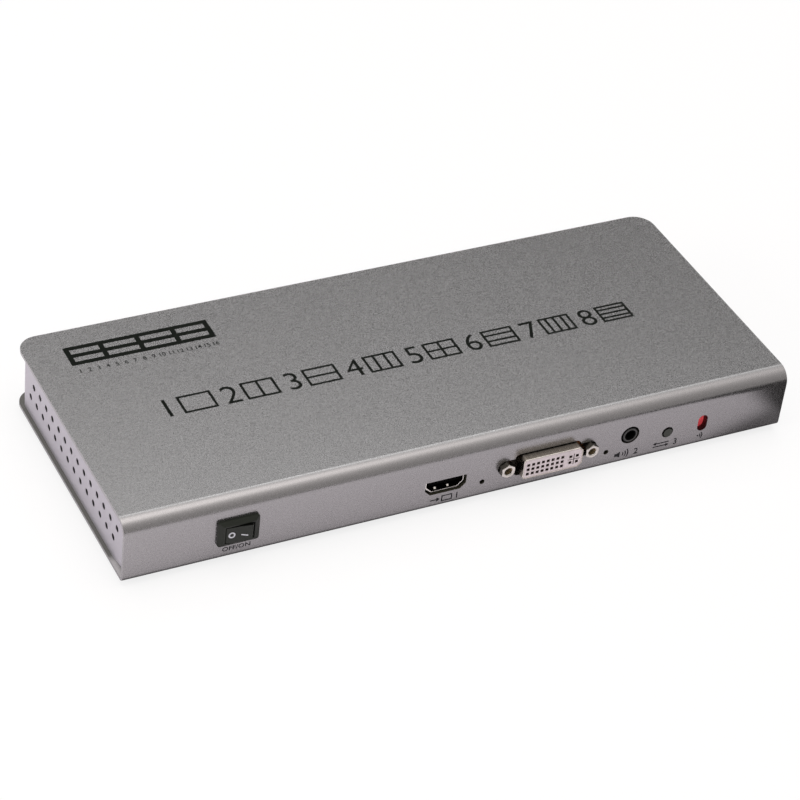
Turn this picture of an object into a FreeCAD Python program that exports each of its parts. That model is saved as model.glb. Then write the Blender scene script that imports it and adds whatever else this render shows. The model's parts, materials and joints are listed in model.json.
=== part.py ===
import FreeCAD, Part
import math
import os

V = FreeCAD.Vector

# Case: one bent sheet makes the top, the front and the bottom
case_width = 255.0
case_depth = 105.5
case_height = 24.5
sheet = 1.2
top_bend = 5.5
bottom_bend = 2.2
corner_radius = 7.5

# Chassis: left, rear and right wall of a second sheet, set in from the edges of the first
chassis_sheet = 1.0
side_inset = 1.4
rear_inset = 6.6
chassis_bend = 1.5
seam = 0.2
relief_length = 11.0
relief_height = 2.6
tab_width = 12.0
tab_reach = 9.0
tab_front_gap = 2.0
tab_rear_gap = 12.0

# Vent holes in each side wall, two staggered rows
vent_diameter = 2.5
vent_count = 14
vent_row_gap = 6.0
vent_rise = 12.45
vent_front = 9.6
vent_rear = 7.22

# Feet, screws and standoffs
foot_height = 2.0
foot_diameter = 10.0
foot_taper = 0.6
foot_inset_x = 16.0
foot_inset_y = 14.0
case_screw_diameter = 2.5
case_screw_head = 4.6
case_screw_head_height = 1.0
case_screw_length = 4.0
screw_play = 0.1
recess_length = 2.2
recess_width = 0.5
recess_depth = 0.5
standoff_height = 3.5
standoff_flats = 5.0
standoff_shank = 4.0
standoff_blind = 0.4
board_screw_diameter = 2.5
board_screw_head = 4.8
board_screw_head_height = 1.6
board_screw_length = 3.5
board_screw_round = 0.7
standoff_inset_x = 13.1
standoff_inset_y = 20.0

# Circuit board
board_thickness = 1.6
board_side_gap = 4.0
board_front_gap = 3.0
board_rear_gap = 0.8

# Front row: the switch from the left side, the wide socket from the right side, the rest from the wide socket
switch_inset = 40.4
pin_input_inset = 97.15
slim_input_left = 39.75
lamp_left = 25.4
lamp_right = 23.95
audio_right = 33.0
select_right = 48.8
remote_right = 63.3

# Rear row, evenly spaced between two insets, with more room beside the control socket
power_inset = 27.5
output_inset = 47.5
control_room = 10.0
output_count = 4

# Rocker switch
switch_height = 11.9
bezel_width = 15.0
bezel_height = 10.5
bezel_edge = 1.0
bezel_corner = 1.0
bezel_rim_corner = 0.4
bezel_reach = 2.1
bezel_rim = 0.45
bezel_lip = 0.35
well_width = 10.6
well_height = 6.8
switch_body_depth = 9.5
switch_wall = 0.7
switch_cheek = 1.0
switch_floor = 1.0
snap_start = 0.15
snap_rise = 0.6
snap_length = 4.5
snap_height = 4.0
cutout_play = 0.15
rocker_gap = 0.2
rocker_end_gap = 0.38
rocker_tilt = 6.0
rocker_hollow = 2.0
rocker_pivot_in = 1.6
rocker_face_out = 2.5
rocker_skirt = 14.0
rocker_hub = 3.0
trunnion_radius = 0.7
trunnion_length = 0.7
trunnion_play = 0.05
plunger_radius = 1.0
plunger_root = 0.8
plunger_reach = 5.0
plunger_play = 0.05
contact_gap = 0.1
contact_length = 8.4
contact_width = 3.0
contact_sheet = 0.4
contact_tilt = 5.0
terminal_width = 3.0
terminal_sheet = 0.8
terminal_reach = 5.5
terminal_spacing = 3.9
wire_diameter = 1.3
wire_run = 5.0
wire_step = 2.6
wire_climb = 9.0
wire_high = 5.5
wire_turn = 3.5
wire_drop = 2.3
plug_width = 4.4
plug_depth = 5.6
plug_height = 5.0
header_wall = 0.8
plug_play = 0.1
header_height = 3.0
plug_right = 21.1
plug_y = 24.0

# Slim digital socket, the same at the front and the rear
slim_rise = 3.1
slim_width = 14.6
slim_height = 5.2
slim_wall = 0.3
slim_depth = 11.5
slim_cut_x = 2.2
slim_cut_z = 2.1
slim_setback = 1.0
slim_rear_out = 0.3
slim_play_x = 0.6
slim_play_z = 0.3
slim_cutout_drop = 0.15
slim_block = 4.5
slim_corner = 0.7
slim_back = 1.2
tongue_width = 11.6
tongue_thickness = 1.1
tongue_lift = 0.35
tongue_setback = 0.8
leg_width = 1.6
leg_start = 3.6

# Wide pin socket with two jack screws
pin_rise = 4.5
pin_left = 11.4
pin_right = 12.2
pin_height = 8.5
pin_wall = 0.4
pin_reach = 5.7
pin_face_out = 3.3
pin_left_corner = 1.3
pin_cut = 1.4
pin_cut_corner = 0.6
pin_flange_width = 38.4
pin_flange_height = 9.0
pin_flange_sheet = 0.8
pin_body_depth = 12.0
pin_body_width = 27.0
pin_body_top = 4.4
pin_screw_spacing = 33.3
pin_hole = 1.25
pin_hole_depth = 4.5
pin_pitch = 1.93
pin_columns = 8
pin_rows = 3
pin_first_x = -9.4
pin_rows_drop = 0.4
cross_x = 8.7
cross_pitch = 2.62
cross_length = 4.8
cross_slit = 0.35
pin_cutout_left = 1.7
pin_cutout_right = 0.9
pin_cutout_z = 0.45
lobe_radius = 2.95
face_setback = 0.15

# Hex jack screws, the same on both screw-down sockets
hex_flats = 5.0
hex_length = 4.8
hex_chamfer = 0.45
jack_thread_radius = 1.42
jack_thread_depth = 4.0
jack_mouth_radius = 1.75
jack_mouth_depth = 0.3
jack_shank_radius = 1.4
jack_shank_length = 4.0

# Nine-way control socket
control_rise = 6.4
control_width = 16.4
control_height = 8.0
control_wall = 0.4
control_lean = 1.3
control_reach = 5.9
control_corner = 2.2
control_flange_width = 30.8
control_flange_height = 12.4
control_flange_sheet = 0.8
control_body_depth = 9.0
control_body_width = 19.0
control_screw_spacing = 25.0
control_hole = 1.1
control_pitch = 2.77
control_row_gap = 2.84
control_play = 0.3

# Audio jack
audio_rise = 6.05
audio_nose = 6.0
audio_bore = 3.6
audio_bore_depth = 13.0
audio_nose_length = 2.4
audio_body_width = 11.0
audio_body_depth = 12.0
audio_body_top = 4.6
audio_ring_gap = 0.68
audio_pin_width = 1.6
audio_pin_sheet = 0.4
audio_pin_length = 1.5
audio_pin_inset = 3.0

# Push button and its switch
select_rise = 3.2
select_cap = 3.9
select_hole_play = 0.32
select_reach = 0.4
select_length = 5.4
select_flange = 5.0
select_flange_sheet = 0.8
select_stem = 3.2
select_stem_play = 0.1
select_dome_gap = 0.05
select_travel = 0.3
select_gap = 0.3
select_body_width = 6.2
select_body_depth = 4.0
select_floor = 0.8
select_dome_height = 0.4

# Remote-control window
remote_rise = 3.7
remote_slot_width = 3.9
remote_slot_height = 6.9
holder_width = 9.0
holder_height = 10.6
holder_depth = 1.3
holder_lip = 1.0
window_sheet = 1.5
receiver_width = 6.0
receiver_depth = 4.4
receiver_height = 7.0
receiver_lens = 2.2
receiver_lens_out = 1.5
receiver_gap = 0.3

# Indicator lamps
lamp_rise = 0.65
lamp_width = 3.0
lamp_depth = 1.6
lamp_hole = 2.0

# Power jack
power_rise = 6.5
power_nose = 8.0
power_bore = 6.3
power_bore_depth = 9.5
power_nose_length = 2.2
power_body_width = 9.0
power_body_depth = 11.5
power_body_top = 4.5
power_play = 0.3
power_pin = 2.1
power_pin_setback = 0.8
power_terminal_width = 3.0
power_terminal_sheet = 0.5

# Parts on the board
main_chip_size = 27.0
main_chip_height = 2.3
main_chip_x = 12.0
pad_sheet = 0.3
sink_size = 34.0
sink_base = 2.0
sink_height = 9.0
fin_count = 9
fin_sheet = 1.0
memory_width = 8.0
memory_depth = 11.0
memory_height = 1.1
memory_gap = 7.0
memory_space = 3.0
transmitter_size = 10.0
transmitter_height = 1.2
transmitter_back = 24.0
support_size = 12.0
support_height = 1.4
support_y = 26.0
support_pitch = 32.0
can_diameter = 6.3
can_height = 8.0
can_pitch = 9.0
can_count = 4
can_left = 4.0
can_back = 34.9
coil_size = 7.5
coil_height = 4.2
coil_pitch = 11.0
coil_count = 3
coil_right = 10.0
coil_back = 48.9
crystal_width = 11.0
crystal_depth = 4.6
crystal_height = 3.6
crystal_right = 40.0
crystal_spacing = 20.0
crystal_round = 2.25

# Where things lie
rocker_radius = math.hypot(rocker_pivot_in + bezel_reach, well_width / 2 - rocker_end_gap)
rocker_lift = rocker_pivot_in + rocker_face_out
hollow_angle = math.radians(rocker_hollow)
tip_angle = math.radians(90 - rocker_hollow) - math.asin(rocker_lift * math.cos(hollow_angle) / rocker_radius)
heel_angle = tip_angle + math.radians(rocker_skirt)
rocker_reach = rocker_radius * math.cos(tip_angle - math.radians(rocker_tilt)) - rocker_pivot_in
cavity_width = 2 * (rocker_radius * math.sin(heel_angle + math.radians(rocker_tilt)) + rocker_gap)
switch_body_width = cavity_width + 2 * switch_wall
switch_body_height = well_height + 2 * switch_cheek
half_width = case_width / 2
switch_x = switch_inset - half_width
pin_input_x = half_width - pin_input_inset
slim_input_x = pin_input_x - slim_input_left
lamp_places = (pin_input_x - lamp_left, pin_input_x + lamp_right)
audio_x = pin_input_x + audio_right
select_x = pin_input_x + select_right
remote_x = pin_input_x + remote_right
rear_pitch = (case_width - power_inset - output_inset - control_room) / (output_count + 1)
power_x = power_inset - half_width
control_x = power_x + rear_pitch
output_x = [control_x + control_room + (i + 1) * rear_pitch for i in range(output_count)]
front_reach = max(rocker_reach, pin_face_out)
front_y = -(case_depth - front_reach) / 2
rear_y = front_y + case_depth
bottom_z = foot_height
top_z = bottom_z + case_height
floor_z = bottom_z + sheet
ceiling_z = top_z - sheet
inner_front_y = front_y + sheet
wall_x = half_width - side_inset
rear_face_y = rear_y - rear_inset
rear_inner_y = rear_face_y - chassis_sheet
board_bottom_z = floor_z + standoff_height
board_top_z = board_bottom_z + board_thickness
board_front_y = inner_front_y + board_front_gap
board_rear_y = rear_inner_y - board_rear_gap
board_middle_y = (board_front_y + board_rear_y) / 2
board_half = wall_x - chassis_sheet - board_side_gap
vent_pitch = (rear_face_y - front_y - vent_front - vent_rear) / (vent_count - 0.5)
switch_z = bottom_z + switch_height
slim_z = board_top_z + slim_rise
pin_z = board_top_z + pin_rise
audio_z = board_top_z + audio_rise
select_z = board_top_z + select_rise
remote_z = board_top_z + remote_rise
lamp_z = board_top_z + lamp_rise
power_z = board_top_z + power_rise
control_z = board_top_z + control_rise
plug_x = switch_x + plug_right
rocker_y = front_y + rocker_pivot_in
contact_back_y = rocker_y + plunger_reach + contact_gap + contact_sheet


# Small building helpers
def block(x0, x1, y0, y1, z0, z1):
    return Part.makeBox(x1 - x0, y1 - y0, z1 - z0, V(x0, y0, z0))


def slab(x, y0, y1, z, width, height):
    return block(x - width / 2, x + width / 2, y0, y1, z - height / 2, z + height / 2)


def rod_y(x, z, radius, y0, y1):
    return Part.makeCylinder(radius, y1 - y0, V(x, y0, z), V(0, 1, 0))


def rod_z(x, y, radius, z0, z1):
    return Part.makeCylinder(radius, z1 - z0, V(x, y, z0), V(0, 0, 1))


def joined(shapes):
    whole = shapes[0]
    for shape in shapes[1:]:
        whole = whole.fuse(shape)
    return whole.removeSplitter()


def rounded_edges(points, radii, closed):
    """Straight edges between the points, with a tangent arc at each corner that has a radius."""
    count = len(points)
    starts = list(points)
    ends = list(points)
    arcs = [None] * count
    for i, radius in enumerate(radii):
        inner = closed or 0 < i < count - 1
        if radius <= 0 or not inner:
            continue
        corner = points[i]
        back = (points[i - 1] - corner).normalize()
        ahead = (points[(i + 1) % count] - corner).normalize()
        half = back.getAngle(ahead) / 2
        reach = radius / math.tan(half)
        middle = (back + ahead).normalize() * (radius / math.sin(half) - radius)
        ends[i] = corner + back * reach
        starts[i] = corner + ahead * reach
        arcs[i] = Part.Arc(ends[i], corner + middle, starts[i]).toShape()
    edges = []
    for i in range(count):
        if arcs[i] is not None:
            edges.append(arcs[i])
        following = (i + 1) % count
        if (closed or i < count - 1) and starts[i].distanceToPoint(ends[following]) > 1e-6:
            edges.append(Part.LineSegment(starts[i], ends[following]).toShape())
    return edges


def prism(points, radii, direction):
    wire = Part.Wire(Part.__sortEdges__(rounded_edges(points, radii, True)))
    return Part.Face(wire).extrude(direction)


def upright(outline, radii, x, y0, y1, z):
    """An outline drawn in width and height, carried along the depth."""
    points = [V(x + px, y0, z + pz) for px, pz in outline]
    return prism(points, radii, V(0, y1 - y0, 0))


def obround(x, z, width, height, y0, y1):
    half_w = width / 2
    half_h = height / 2
    corners = [(-half_w, half_h), (half_w, half_h), (half_w, -half_h), (-half_w, -half_h)]
    radius = min(half_w, half_h) * 0.999
    return upright(corners, [radius] * 4, x, y0, y1, z)


def hexagon(x, y, z, flats, length, direction):
    """A hexagonal bar from the given point along the depth or the height."""
    radius = flats / math.sqrt(3)
    points = []
    for i in range(6):
        turn = math.radians(60 * i + 30)
        across = radius * math.cos(turn)
        along = radius * math.sin(turn)
        points.append(V(x + across, y + along, z) if direction.z else V(x + across, y, z + along))
    return prism(points, [0] * 6, direction * length)


def cross_recess(x, y, z, depth):
    half = recess_length / 2
    slit = recess_width / 2
    arm_a = block(x - half, x + half, y - slit, y + slit, min(z, z + depth), max(z, z + depth))
    arm_b = block(x - slit, x + slit, y - half, y + half, min(z, z + depth), max(z, z + depth))
    return arm_a.fuse(arm_b)


def turned(shape, y):
    """A socket built facing the front at zero depth, turned to face the rear at the given depth."""
    copy = shape.copy()
    copy.rotate(V(0, 0, 0), V(0, 0, 1), 180)
    copy.translate(V(0, y, 0))
    return copy


def moved(shape, x, y, z):
    copy = shape.copy()
    copy.translate(V(x, y, z))
    return copy


def save(node, shape):
    solids = shape.Solids
    if not shape.isValid() or not solids:
        print("NOT VALID", node)
    whole = solids[0] if len(solids) == 1 else Part.makeCompound(solids)
    whole.exportStep("parts/%s.step" % node)
    print("%-22s %3d solid(s) %10.1f mm3" % (node, len(solids), whole.Volume))


# Outlines of the sockets, in width and height from their centre
def slim_outline(width, height):
    half_w = width / 2
    half_h = height / 2
    return [(-half_w, half_h), (half_w, half_h), (half_w, slim_cut_z - half_h),
            (half_w - slim_cut_x, -half_h), (slim_cut_x - half_w, -half_h), (-half_w, slim_cut_z - half_h)]


def slim_form(width, height, y0, y1, corner):
    return upright(slim_outline(width, height), [corner] * 6, 0, y0, y1, 0)


def slim_opening(y0, y1):
    return slim_form(slim_width + 2 * slim_play_x, slim_height + 2 * slim_play_z, y0, y1, slim_wall)


def pin_form(grow_left, grow_right, grow_z, y0, y1):
    left = -pin_left - grow_left
    right = pin_right + grow_right
    half_h = pin_height / 2 + grow_z
    outline = [(left, half_h), (right - pin_cut, half_h), (right, half_h - pin_cut),
               (right, pin_cut - half_h), (right - pin_cut, -half_h), (left, -half_h)]
    radii = [pin_left_corner] + 4 * [pin_cut_corner] + [pin_left_corner]
    return upright(outline, [radius + grow_z for radius in radii], 0, y0, y1, 0)


def control_form(grow, y0, y1):
    half_w = control_width / 2 + grow
    half_h = control_height / 2 + grow
    outline = [(-half_w, half_h), (half_w, half_h), (half_w - control_lean, -half_h),
               (control_lean - half_w, -half_h)]
    return upright(outline, [control_corner + grow] * 4, 0, y0, y1, 0)


# Case sheet
def side_tab_places():
    side = wall_x - chassis_sheet - tab_reach / 2
    front = inner_front_y + seam + relief_length + tab_front_gap + tab_width / 2
    rear = rear_inner_y - tab_rear_gap - tab_width / 2
    return [(-side, front), (-side, rear), (side, front), (side, rear)]


def rear_tab_places():
    return [(output_x[i] + rear_pitch / 2, rear_inner_y - tab_reach / 2) for i in (0, 2)]


def case_screw_places():
    return side_tab_places() + rear_tab_places()


def standoff_places():
    side = board_half - standoff_inset_x
    rows = (board_front_y + standoff_inset_y, board_rear_y - standoff_inset_y)
    return [(x, y) for y in rows for x in (-side, 0, side)]


def foot_places():
    across = half_width - foot_inset_x
    return [(x, y) for x in (-across, across) for y in (front_y + foot_inset_y, rear_y - foot_inset_y)]


def wrap_shell():
    z_inner_top = top_z - sheet
    x0 = -half_width
    points = [V(x0, rear_y, top_z), V(x0, front_y, top_z), V(x0, front_y, bottom_z), V(x0, rear_y, bottom_z),
              V(x0, rear_y, floor_z), V(x0, inner_front_y, floor_z), V(x0, inner_front_y, z_inner_top),
              V(x0, rear_y, z_inner_top)]
    radii = [0, top_bend, bottom_bend, 0, 0, bottom_bend - sheet, top_bend - sheet, 0]
    shell = prism(points, radii, V(case_width, 0, 0))
    plan = [V(-half_width, front_y - 1, bottom_z - 1), V(half_width, front_y - 1, bottom_z - 1),
            V(half_width, rear_y, bottom_z - 1), V(-half_width, rear_y, bottom_z - 1)]
    shell = shell.common(prism(plan, [0, 0, corner_radius, corner_radius], V(0, 0, case_height + 2)))
    y0 = front_y - 1
    y1 = inner_front_y + 1
    cuts = [slab(switch_x, y0, y1, switch_z, switch_body_width + 2 * cutout_play,
                 switch_body_height + 2 * cutout_play),
            moved(slim_opening(y0, y1), slim_input_x, 0, slim_z - slim_cutout_drop),
            moved(pin_form(pin_cutout_left, pin_cutout_right, pin_cutout_z, y0, y1), pin_input_x, 0, pin_z),
            obround(pin_input_x, pin_z, pin_screw_spacing + 2 * lobe_radius, 2 * lobe_radius, y0, y1),
            rod_y(audio_x, audio_z, audio_nose / 2 + audio_ring_gap, y0, y1),
            rod_y(select_x, select_z, select_cap / 2 + select_hole_play, y0, y1),
            obround(remote_x, remote_z, remote_slot_width, remote_slot_height, y0, y1)]
    for x in lamp_places:
        cuts.append(rod_y(x, lamp_z, lamp_hole / 2, y0, y1))
    for x, y in case_screw_places():
        cuts.append(case_screw_shape(x, y, screw_play))
    for x, y in standoff_places():
        cuts.append(rod_z(x, y, standoff_shank / 2, bottom_z - 1, floor_z + 1))
    for cut in cuts:
        shell = shell.cut(cut)
    return shell


def case_screw_shape(x, y, play):
    """A countersunk screw under the floor, or with play its hole."""
    head = Part.makeCone(case_screw_head / 2 + play, case_screw_diameter / 2 + play, case_screw_head_height,
                         V(x, y, bottom_z), V(0, 0, 1))
    shank = rod_z(x, y, case_screw_diameter / 2 + play, bottom_z, bottom_z + case_screw_length)
    return head.fuse(shank)


def case_screws():
    return Part.makeCompound([case_screw_shape(x, y, 0).cut(cross_recess(x, y, bottom_z, recess_depth))
                              for x, y in case_screw_places()])


def rubber_feet():
    feet = []
    for x, y in foot_places():
        feet.append(Part.makeCone(foot_diameter / 2 - foot_taper, foot_diameter / 2, foot_height, V(x, y, 0),
                                  V(0, 0, 1)))
    return Part.makeCompound(feet)


# Chassis
def side_wall(sign):
    front = inner_front_y + seam
    top = ceiling_z - seam
    x0 = sign * wall_x
    points = [V(x0, front, floor_z + relief_height), V(x0, front, top), V(x0, rear_inner_y, top),
              V(x0, rear_inner_y, floor_z), V(x0, front + relief_length, floor_z)]
    radii = [0, top_bend - sheet - seam, 0, 0, 0]
    return prism(points, radii, V(-sign * chassis_sheet, 0, 0))


def vented_chassis():
    top = ceiling_z - seam
    plan_y = rear_inner_y - chassis_bend
    points = [V(-wall_x, plan_y, floor_z), V(-wall_x, rear_face_y, floor_z), V(wall_x, rear_face_y, floor_z),
              V(wall_x, plan_y, floor_z), V(wall_x - chassis_sheet, plan_y, floor_z),
              V(wall_x - chassis_sheet, rear_inner_y, floor_z), V(chassis_sheet - wall_x, rear_inner_y, floor_z),
              V(chassis_sheet - wall_x, plan_y, floor_z)]
    inner_bend = chassis_bend - chassis_sheet
    rear = prism(points, [0, chassis_bend, chassis_bend, 0, 0, inner_bend, inner_bend, 0],
                 V(0, 0, top - floor_z))
    walls = [rear]
    for sign in (-1, 1):
        wall = side_wall(sign)
        wall = wall.common(block(-half_width, half_width, front_y, plan_y, bottom_z, top_z))
        walls.append(wall)
    chassis = joined(walls + floor_tabs())
    for x, y in case_screw_places():
        chassis = chassis.cut(rod_z(x, y, case_screw_diameter / 2 + screw_play / 2, floor_z - 1, floor_z + 3))
    for hole in [vent_holes()] + rear_holes():
        chassis = chassis.cut(hole)
    return chassis


def floor_tabs():
    """Tabs bent inwards from the foot of the walls, each one over its case screw."""
    across = (tab_reach + chassis_sheet) / 2
    z = floor_z + chassis_sheet / 2
    tabs = []
    for x, y in side_tab_places():
        middle = math.copysign(wall_x - across, x)
        tabs.append(slab(middle, y - tab_width / 2, y + tab_width / 2, z, 2 * across, chassis_sheet))
    for x, y in rear_tab_places():
        tabs.append(slab(x, rear_inner_y - tab_reach, rear_face_y, z, tab_width, chassis_sheet))
    return tabs


def vent_holes():
    """Both rows go right through the left and the right wall."""
    holes = []
    for row, shift in ((1, 0), (-1, vent_pitch / 2)):
        z = bottom_z + vent_rise + row * vent_row_gap / 2
        for i in range(vent_count):
            y = front_y + vent_front + shift + i * vent_pitch
            holes.append(Part.makeCylinder(vent_diameter / 2, case_width, V(-half_width, y, z), V(1, 0, 0)))
    return Part.makeCompound(holes)


def rear_holes():
    y0 = rear_inner_y - 0.5
    y1 = rear_face_y + 0.5
    holes = [rod_y(power_x, power_z, power_nose / 2 + power_play, y0, y1)]
    port = control_form(control_play, y0, y1)
    port.rotate(V(0, 0, 0), V(0, 0, 1), 180)
    port.translate(V(control_x, y0 + y1, control_z))
    holes.append(port)
    for sign in (-1, 1):
        holes.append(rod_y(control_x + sign * control_screw_spacing / 2, control_z,
                           jack_shank_radius + screw_play, y0, y1))
    for x in output_x:
        holes.append(moved(slim_opening(y0, y1), x, 0, slim_z))
    return holes


# Board and its fixings
def board_standoffs():
    posts = []
    for x, y in standoff_places():
        post = hexagon(x, y, floor_z, standoff_flats, standoff_height, V(0, 0, 1))
        post = post.fuse(rod_z(x, y, standoff_shank / 2, bottom_z, floor_z))
        hole = rod_z(x, y, board_screw_diameter / 2 + screw_play / 2, floor_z + standoff_blind,
                     board_bottom_z + 1)
        posts.append(post.cut(hole).removeSplitter())
    return Part.makeCompound(posts)


def board_screws():
    screws = []
    for x, y in standoff_places():
        head = rod_z(x, y, board_screw_head / 2, board_top_z, board_top_z + board_screw_head_height)
        head = head.makeFillet(board_screw_round, [head.Edges[0]])
        reach = board_top_z - board_screw_length
        screw = head.fuse(rod_z(x, y, board_screw_diameter / 2, reach, board_top_z)).removeSplitter()
        top = board_top_z + board_screw_head_height
        screws.append(screw.cut(cross_recess(x, y, top, -recess_depth)))
    return Part.makeCompound(screws)


def circuit_board():
    board = block(-board_half, board_half, board_front_y, board_rear_y, board_bottom_z, board_top_z)
    radius = board_screw_diameter / 2 + screw_play
    for x, y in standoff_places():
        board = board.cut(rod_z(x, y, radius, board_bottom_z - 1, board_top_z + 1))
    return board


# Rocker switch
def frame_loop(width, height, corner, y):
    points = [V(switch_x + sx * width / 2, y, switch_z + sz * height / 2)
              for sx, sz in ((-1, 1), (1, 1), (1, -1), (-1, -1))]
    return Part.Wire(rounded_edges(points, [corner] * 4, True))


def snap_wing(side):
    """A springy wedge beside the body that holds the switch behind the front sheet."""
    root = switch_x + side * switch_body_width / 2
    y0 = inner_front_y + snap_start
    z0 = switch_z - snap_height / 2
    points = [V(root, y0, z0), V(root + side * snap_rise, y0, z0), V(root, y0 + snap_length, z0)]
    return prism(points, [0, 0, 0], V(0, 0, snap_height))


def switch_housing():
    rim_y = front_y - bezel_reach
    outer = frame_loop(bezel_width, bezel_height, bezel_corner, front_y - bezel_edge)
    rim = frame_loop(well_width + 2 * bezel_rim, well_height + 2 * bezel_rim, bezel_rim_corner, rim_y)
    collar = Part.Face(outer).extrude(V(0, bezel_edge, 0))
    slope = Part.makeLoft([outer, rim], True, True)
    body = slab(switch_x, front_y, front_y + switch_body_depth, switch_z, switch_body_width,
                switch_body_height)
    housing = joined([collar, slope, body, snap_wing(-1), snap_wing(1)])
    mouth = slab(switch_x, rim_y - 1, front_y, switch_z, well_width, well_height)
    cavity = slab(switch_x, rim_y + bezel_lip, front_y + switch_body_depth - switch_floor, switch_z,
                  cavity_width, well_height)
    bearing = well_height / 2 + trunnion_length + trunnion_play
    housing = housing.cut(mouth.fuse(cavity))
    housing = housing.cut(rod_z(switch_x, rocker_y, trunnion_radius + trunnion_play, switch_z - bearing,
                                switch_z + bearing))
    for x in terminal_places():
        housing = housing.cut(slab(x, front_y + switch_body_depth - 2 * switch_floor,
                                   front_y + switch_body_depth + 1, switch_z, terminal_sheet, terminal_width))
    return housing


def rocker_rest(shape):
    """Turn a piece from the middle position to the off position, left end pressed in."""
    copy = shape.copy()
    copy.rotate(V(switch_x, rocker_y, switch_z), V(0, 0, 1), -rocker_tilt)
    return copy


def switch_rocker():
    """Two faces that meet in a shallow valley, round ends that close the well, and two pins."""
    half_height = well_height / 2 - rocker_gap
    hub_half = plunger_radius + plunger_root
    z0 = switch_z - half_height

    def at(across, out):
        return V(switch_x + across, rocker_y - out, z0)

    def on_arc(angle, side):
        return at(side * rocker_radius * math.sin(angle), rocker_radius * math.cos(angle))

    edges = []
    middle = (tip_angle + heel_angle) / 2
    for side in (-1, 1):
        edges.append(Part.LineSegment(at(0, rocker_lift), on_arc(tip_angle, side)).toShape())
        arc = Part.Arc(on_arc(tip_angle, side), on_arc(middle, side), on_arc(heel_angle, side))
        edges.append(arc.toShape())
        edges.append(Part.LineSegment(on_arc(heel_angle, side), at(side * hub_half, -rocker_hub)).toShape())
    edges.append(Part.LineSegment(at(-hub_half, -rocker_hub), at(hub_half, -rocker_hub)).toShape())
    body = Part.Face(Part.Wire(Part.__sortEdges__(edges))).extrude(V(0, 0, 2 * half_height))
    pin_half = well_height / 2 + trunnion_length
    pin = rod_z(switch_x, rocker_y, trunnion_radius, switch_z - pin_half, switch_z + pin_half)
    bore = rod_y(switch_x, switch_z, plunger_radius + plunger_play, rocker_y + plunger_root,
                 rocker_y + plunger_reach)
    return rocker_rest(joined([body, pin]).cut(bore))


def switch_plunger():
    """The sprung pin in the rocker's hub that rides on the see-saw contact."""
    end = rocker_y + plunger_reach - plunger_radius
    pin = rod_y(switch_x, switch_z, plunger_radius, rocker_y + plunger_root, end)
    ball = Part.makeSphere(plunger_radius, V(switch_x, end, switch_z))
    return rocker_rest(joined([pin, ball]))


def switch_contact():
    """The see-saw strip on the middle terminal, its free end tipped away from the on terminal."""
    strip = slab(switch_x, contact_back_y - contact_sheet, contact_back_y, switch_z, contact_length,
                 contact_width)
    strip.rotate(V(switch_x, contact_back_y, switch_z), V(0, 0, 1), contact_tilt)
    return strip


def terminal_places():
    return [switch_x, switch_x - terminal_spacing]


def switch_terminals():
    """The see-saw rests on the middle terminal and meets the left one when the switch is on."""
    meet_y = contact_back_y + terminal_spacing * math.tan(math.radians(contact_tilt))
    blades = []
    for x, head in zip(terminal_places(), (contact_back_y, meet_y)):
        blades.append(slab(x, head + contact_gap, front_y + switch_body_depth + terminal_reach, switch_z,
                           terminal_sheet, terminal_width))
    return Part.makeCompound(blades)


def wire_route(index):
    """Back from the terminal, across to the plug and down into it."""
    start = front_y + switch_body_depth + terminal_reach
    x = terminal_places()[index]
    plug_top = board_top_z + header_height + plug_height
    high = plug_top + wire_high
    end_y = front_y + plug_y + (index - 0.5) * wire_step
    return [V(x, start, switch_z), V(x, start + wire_run + index * wire_step, switch_z),
            V(x + wire_climb, end_y, high - wire_diameter / 2), V(plug_x - wire_turn, end_y, high),
            V(plug_x, end_y, plug_top + wire_drop), V(plug_x, end_y, plug_top)]


def bend_radii(points):
    """For each inner point the largest arc that its two runs allow."""
    radii = [0]
    for i in range(1, len(points) - 1):
        back = points[i - 1] - points[i]
        ahead = points[i + 1] - points[i]
        half_turn = (math.pi - back.getAngle(ahead)) / 2
        radii.append(0.45 * min(back.Length, ahead.Length) / math.tan(half_turn))
    return radii + [0]


def switch_wires():
    wires = []
    for index in range(len(terminal_places())):
        points = wire_route(index)
        path = Part.Wire(rounded_edges(points, bend_radii(points), False))
        ring = Part.Wire(Part.makeCircle(wire_diameter / 2, points[0], points[1] - points[0]))
        wire = path.makePipeShell([ring], True, False)
        wires.append(wire)
    return Part.makeCompound(wires)


def plug_box(grow, z0, z1):
    y = front_y + plug_y
    return block(plug_x - plug_width / 2 - grow, plug_x + plug_width / 2 + grow, y - plug_depth / 2 - grow,
                 y + plug_depth / 2 + grow, z0, z1)


def board_header():
    outer = plug_box(header_wall, board_top_z, board_top_z + header_height)
    return outer.cut(plug_box(plug_play, board_top_z + header_wall, board_top_z + header_height + 1))


def switch_plug():
    return plug_box(0, board_top_z + header_wall, board_top_z + header_height + plug_height)


# Slim socket, drawn facing the front with its centre at zero
def slim_inside(y0, y1):
    return slim_form(slim_width - 2 * slim_wall, slim_height - 2 * slim_wall, y0, y1, slim_corner - slim_wall)


def slim_shell():
    tube = slim_form(slim_width, slim_height, 0, slim_depth, slim_corner)
    tube = tube.cut(slim_inside(-1, slim_depth + 1))
    legs = []
    for sign in (-1, 1):
        for y in (leg_start, slim_depth - leg_width - leg_start / 2):
            x0, x1 = sorted((sign * (slim_width / 2 - slim_wall), sign * slim_width / 2))
            legs.append(block(x0, x1, y, y + leg_width, -slim_rise, 0))
    return joined([tube] + legs)


def slim_tongue():
    block_form = slim_inside(slim_depth - slim_block, slim_depth)
    tongue = slab(0, tongue_setback, slim_depth - slim_block, tongue_lift, tongue_width, tongue_thickness)
    half = slim_width / 2 - slim_cut_x
    foot = block(-half, half, slim_depth, slim_depth + slim_back, -slim_rise, slim_height / 2 - slim_wall)
    return joined([block_form, tongue, foot])


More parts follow.
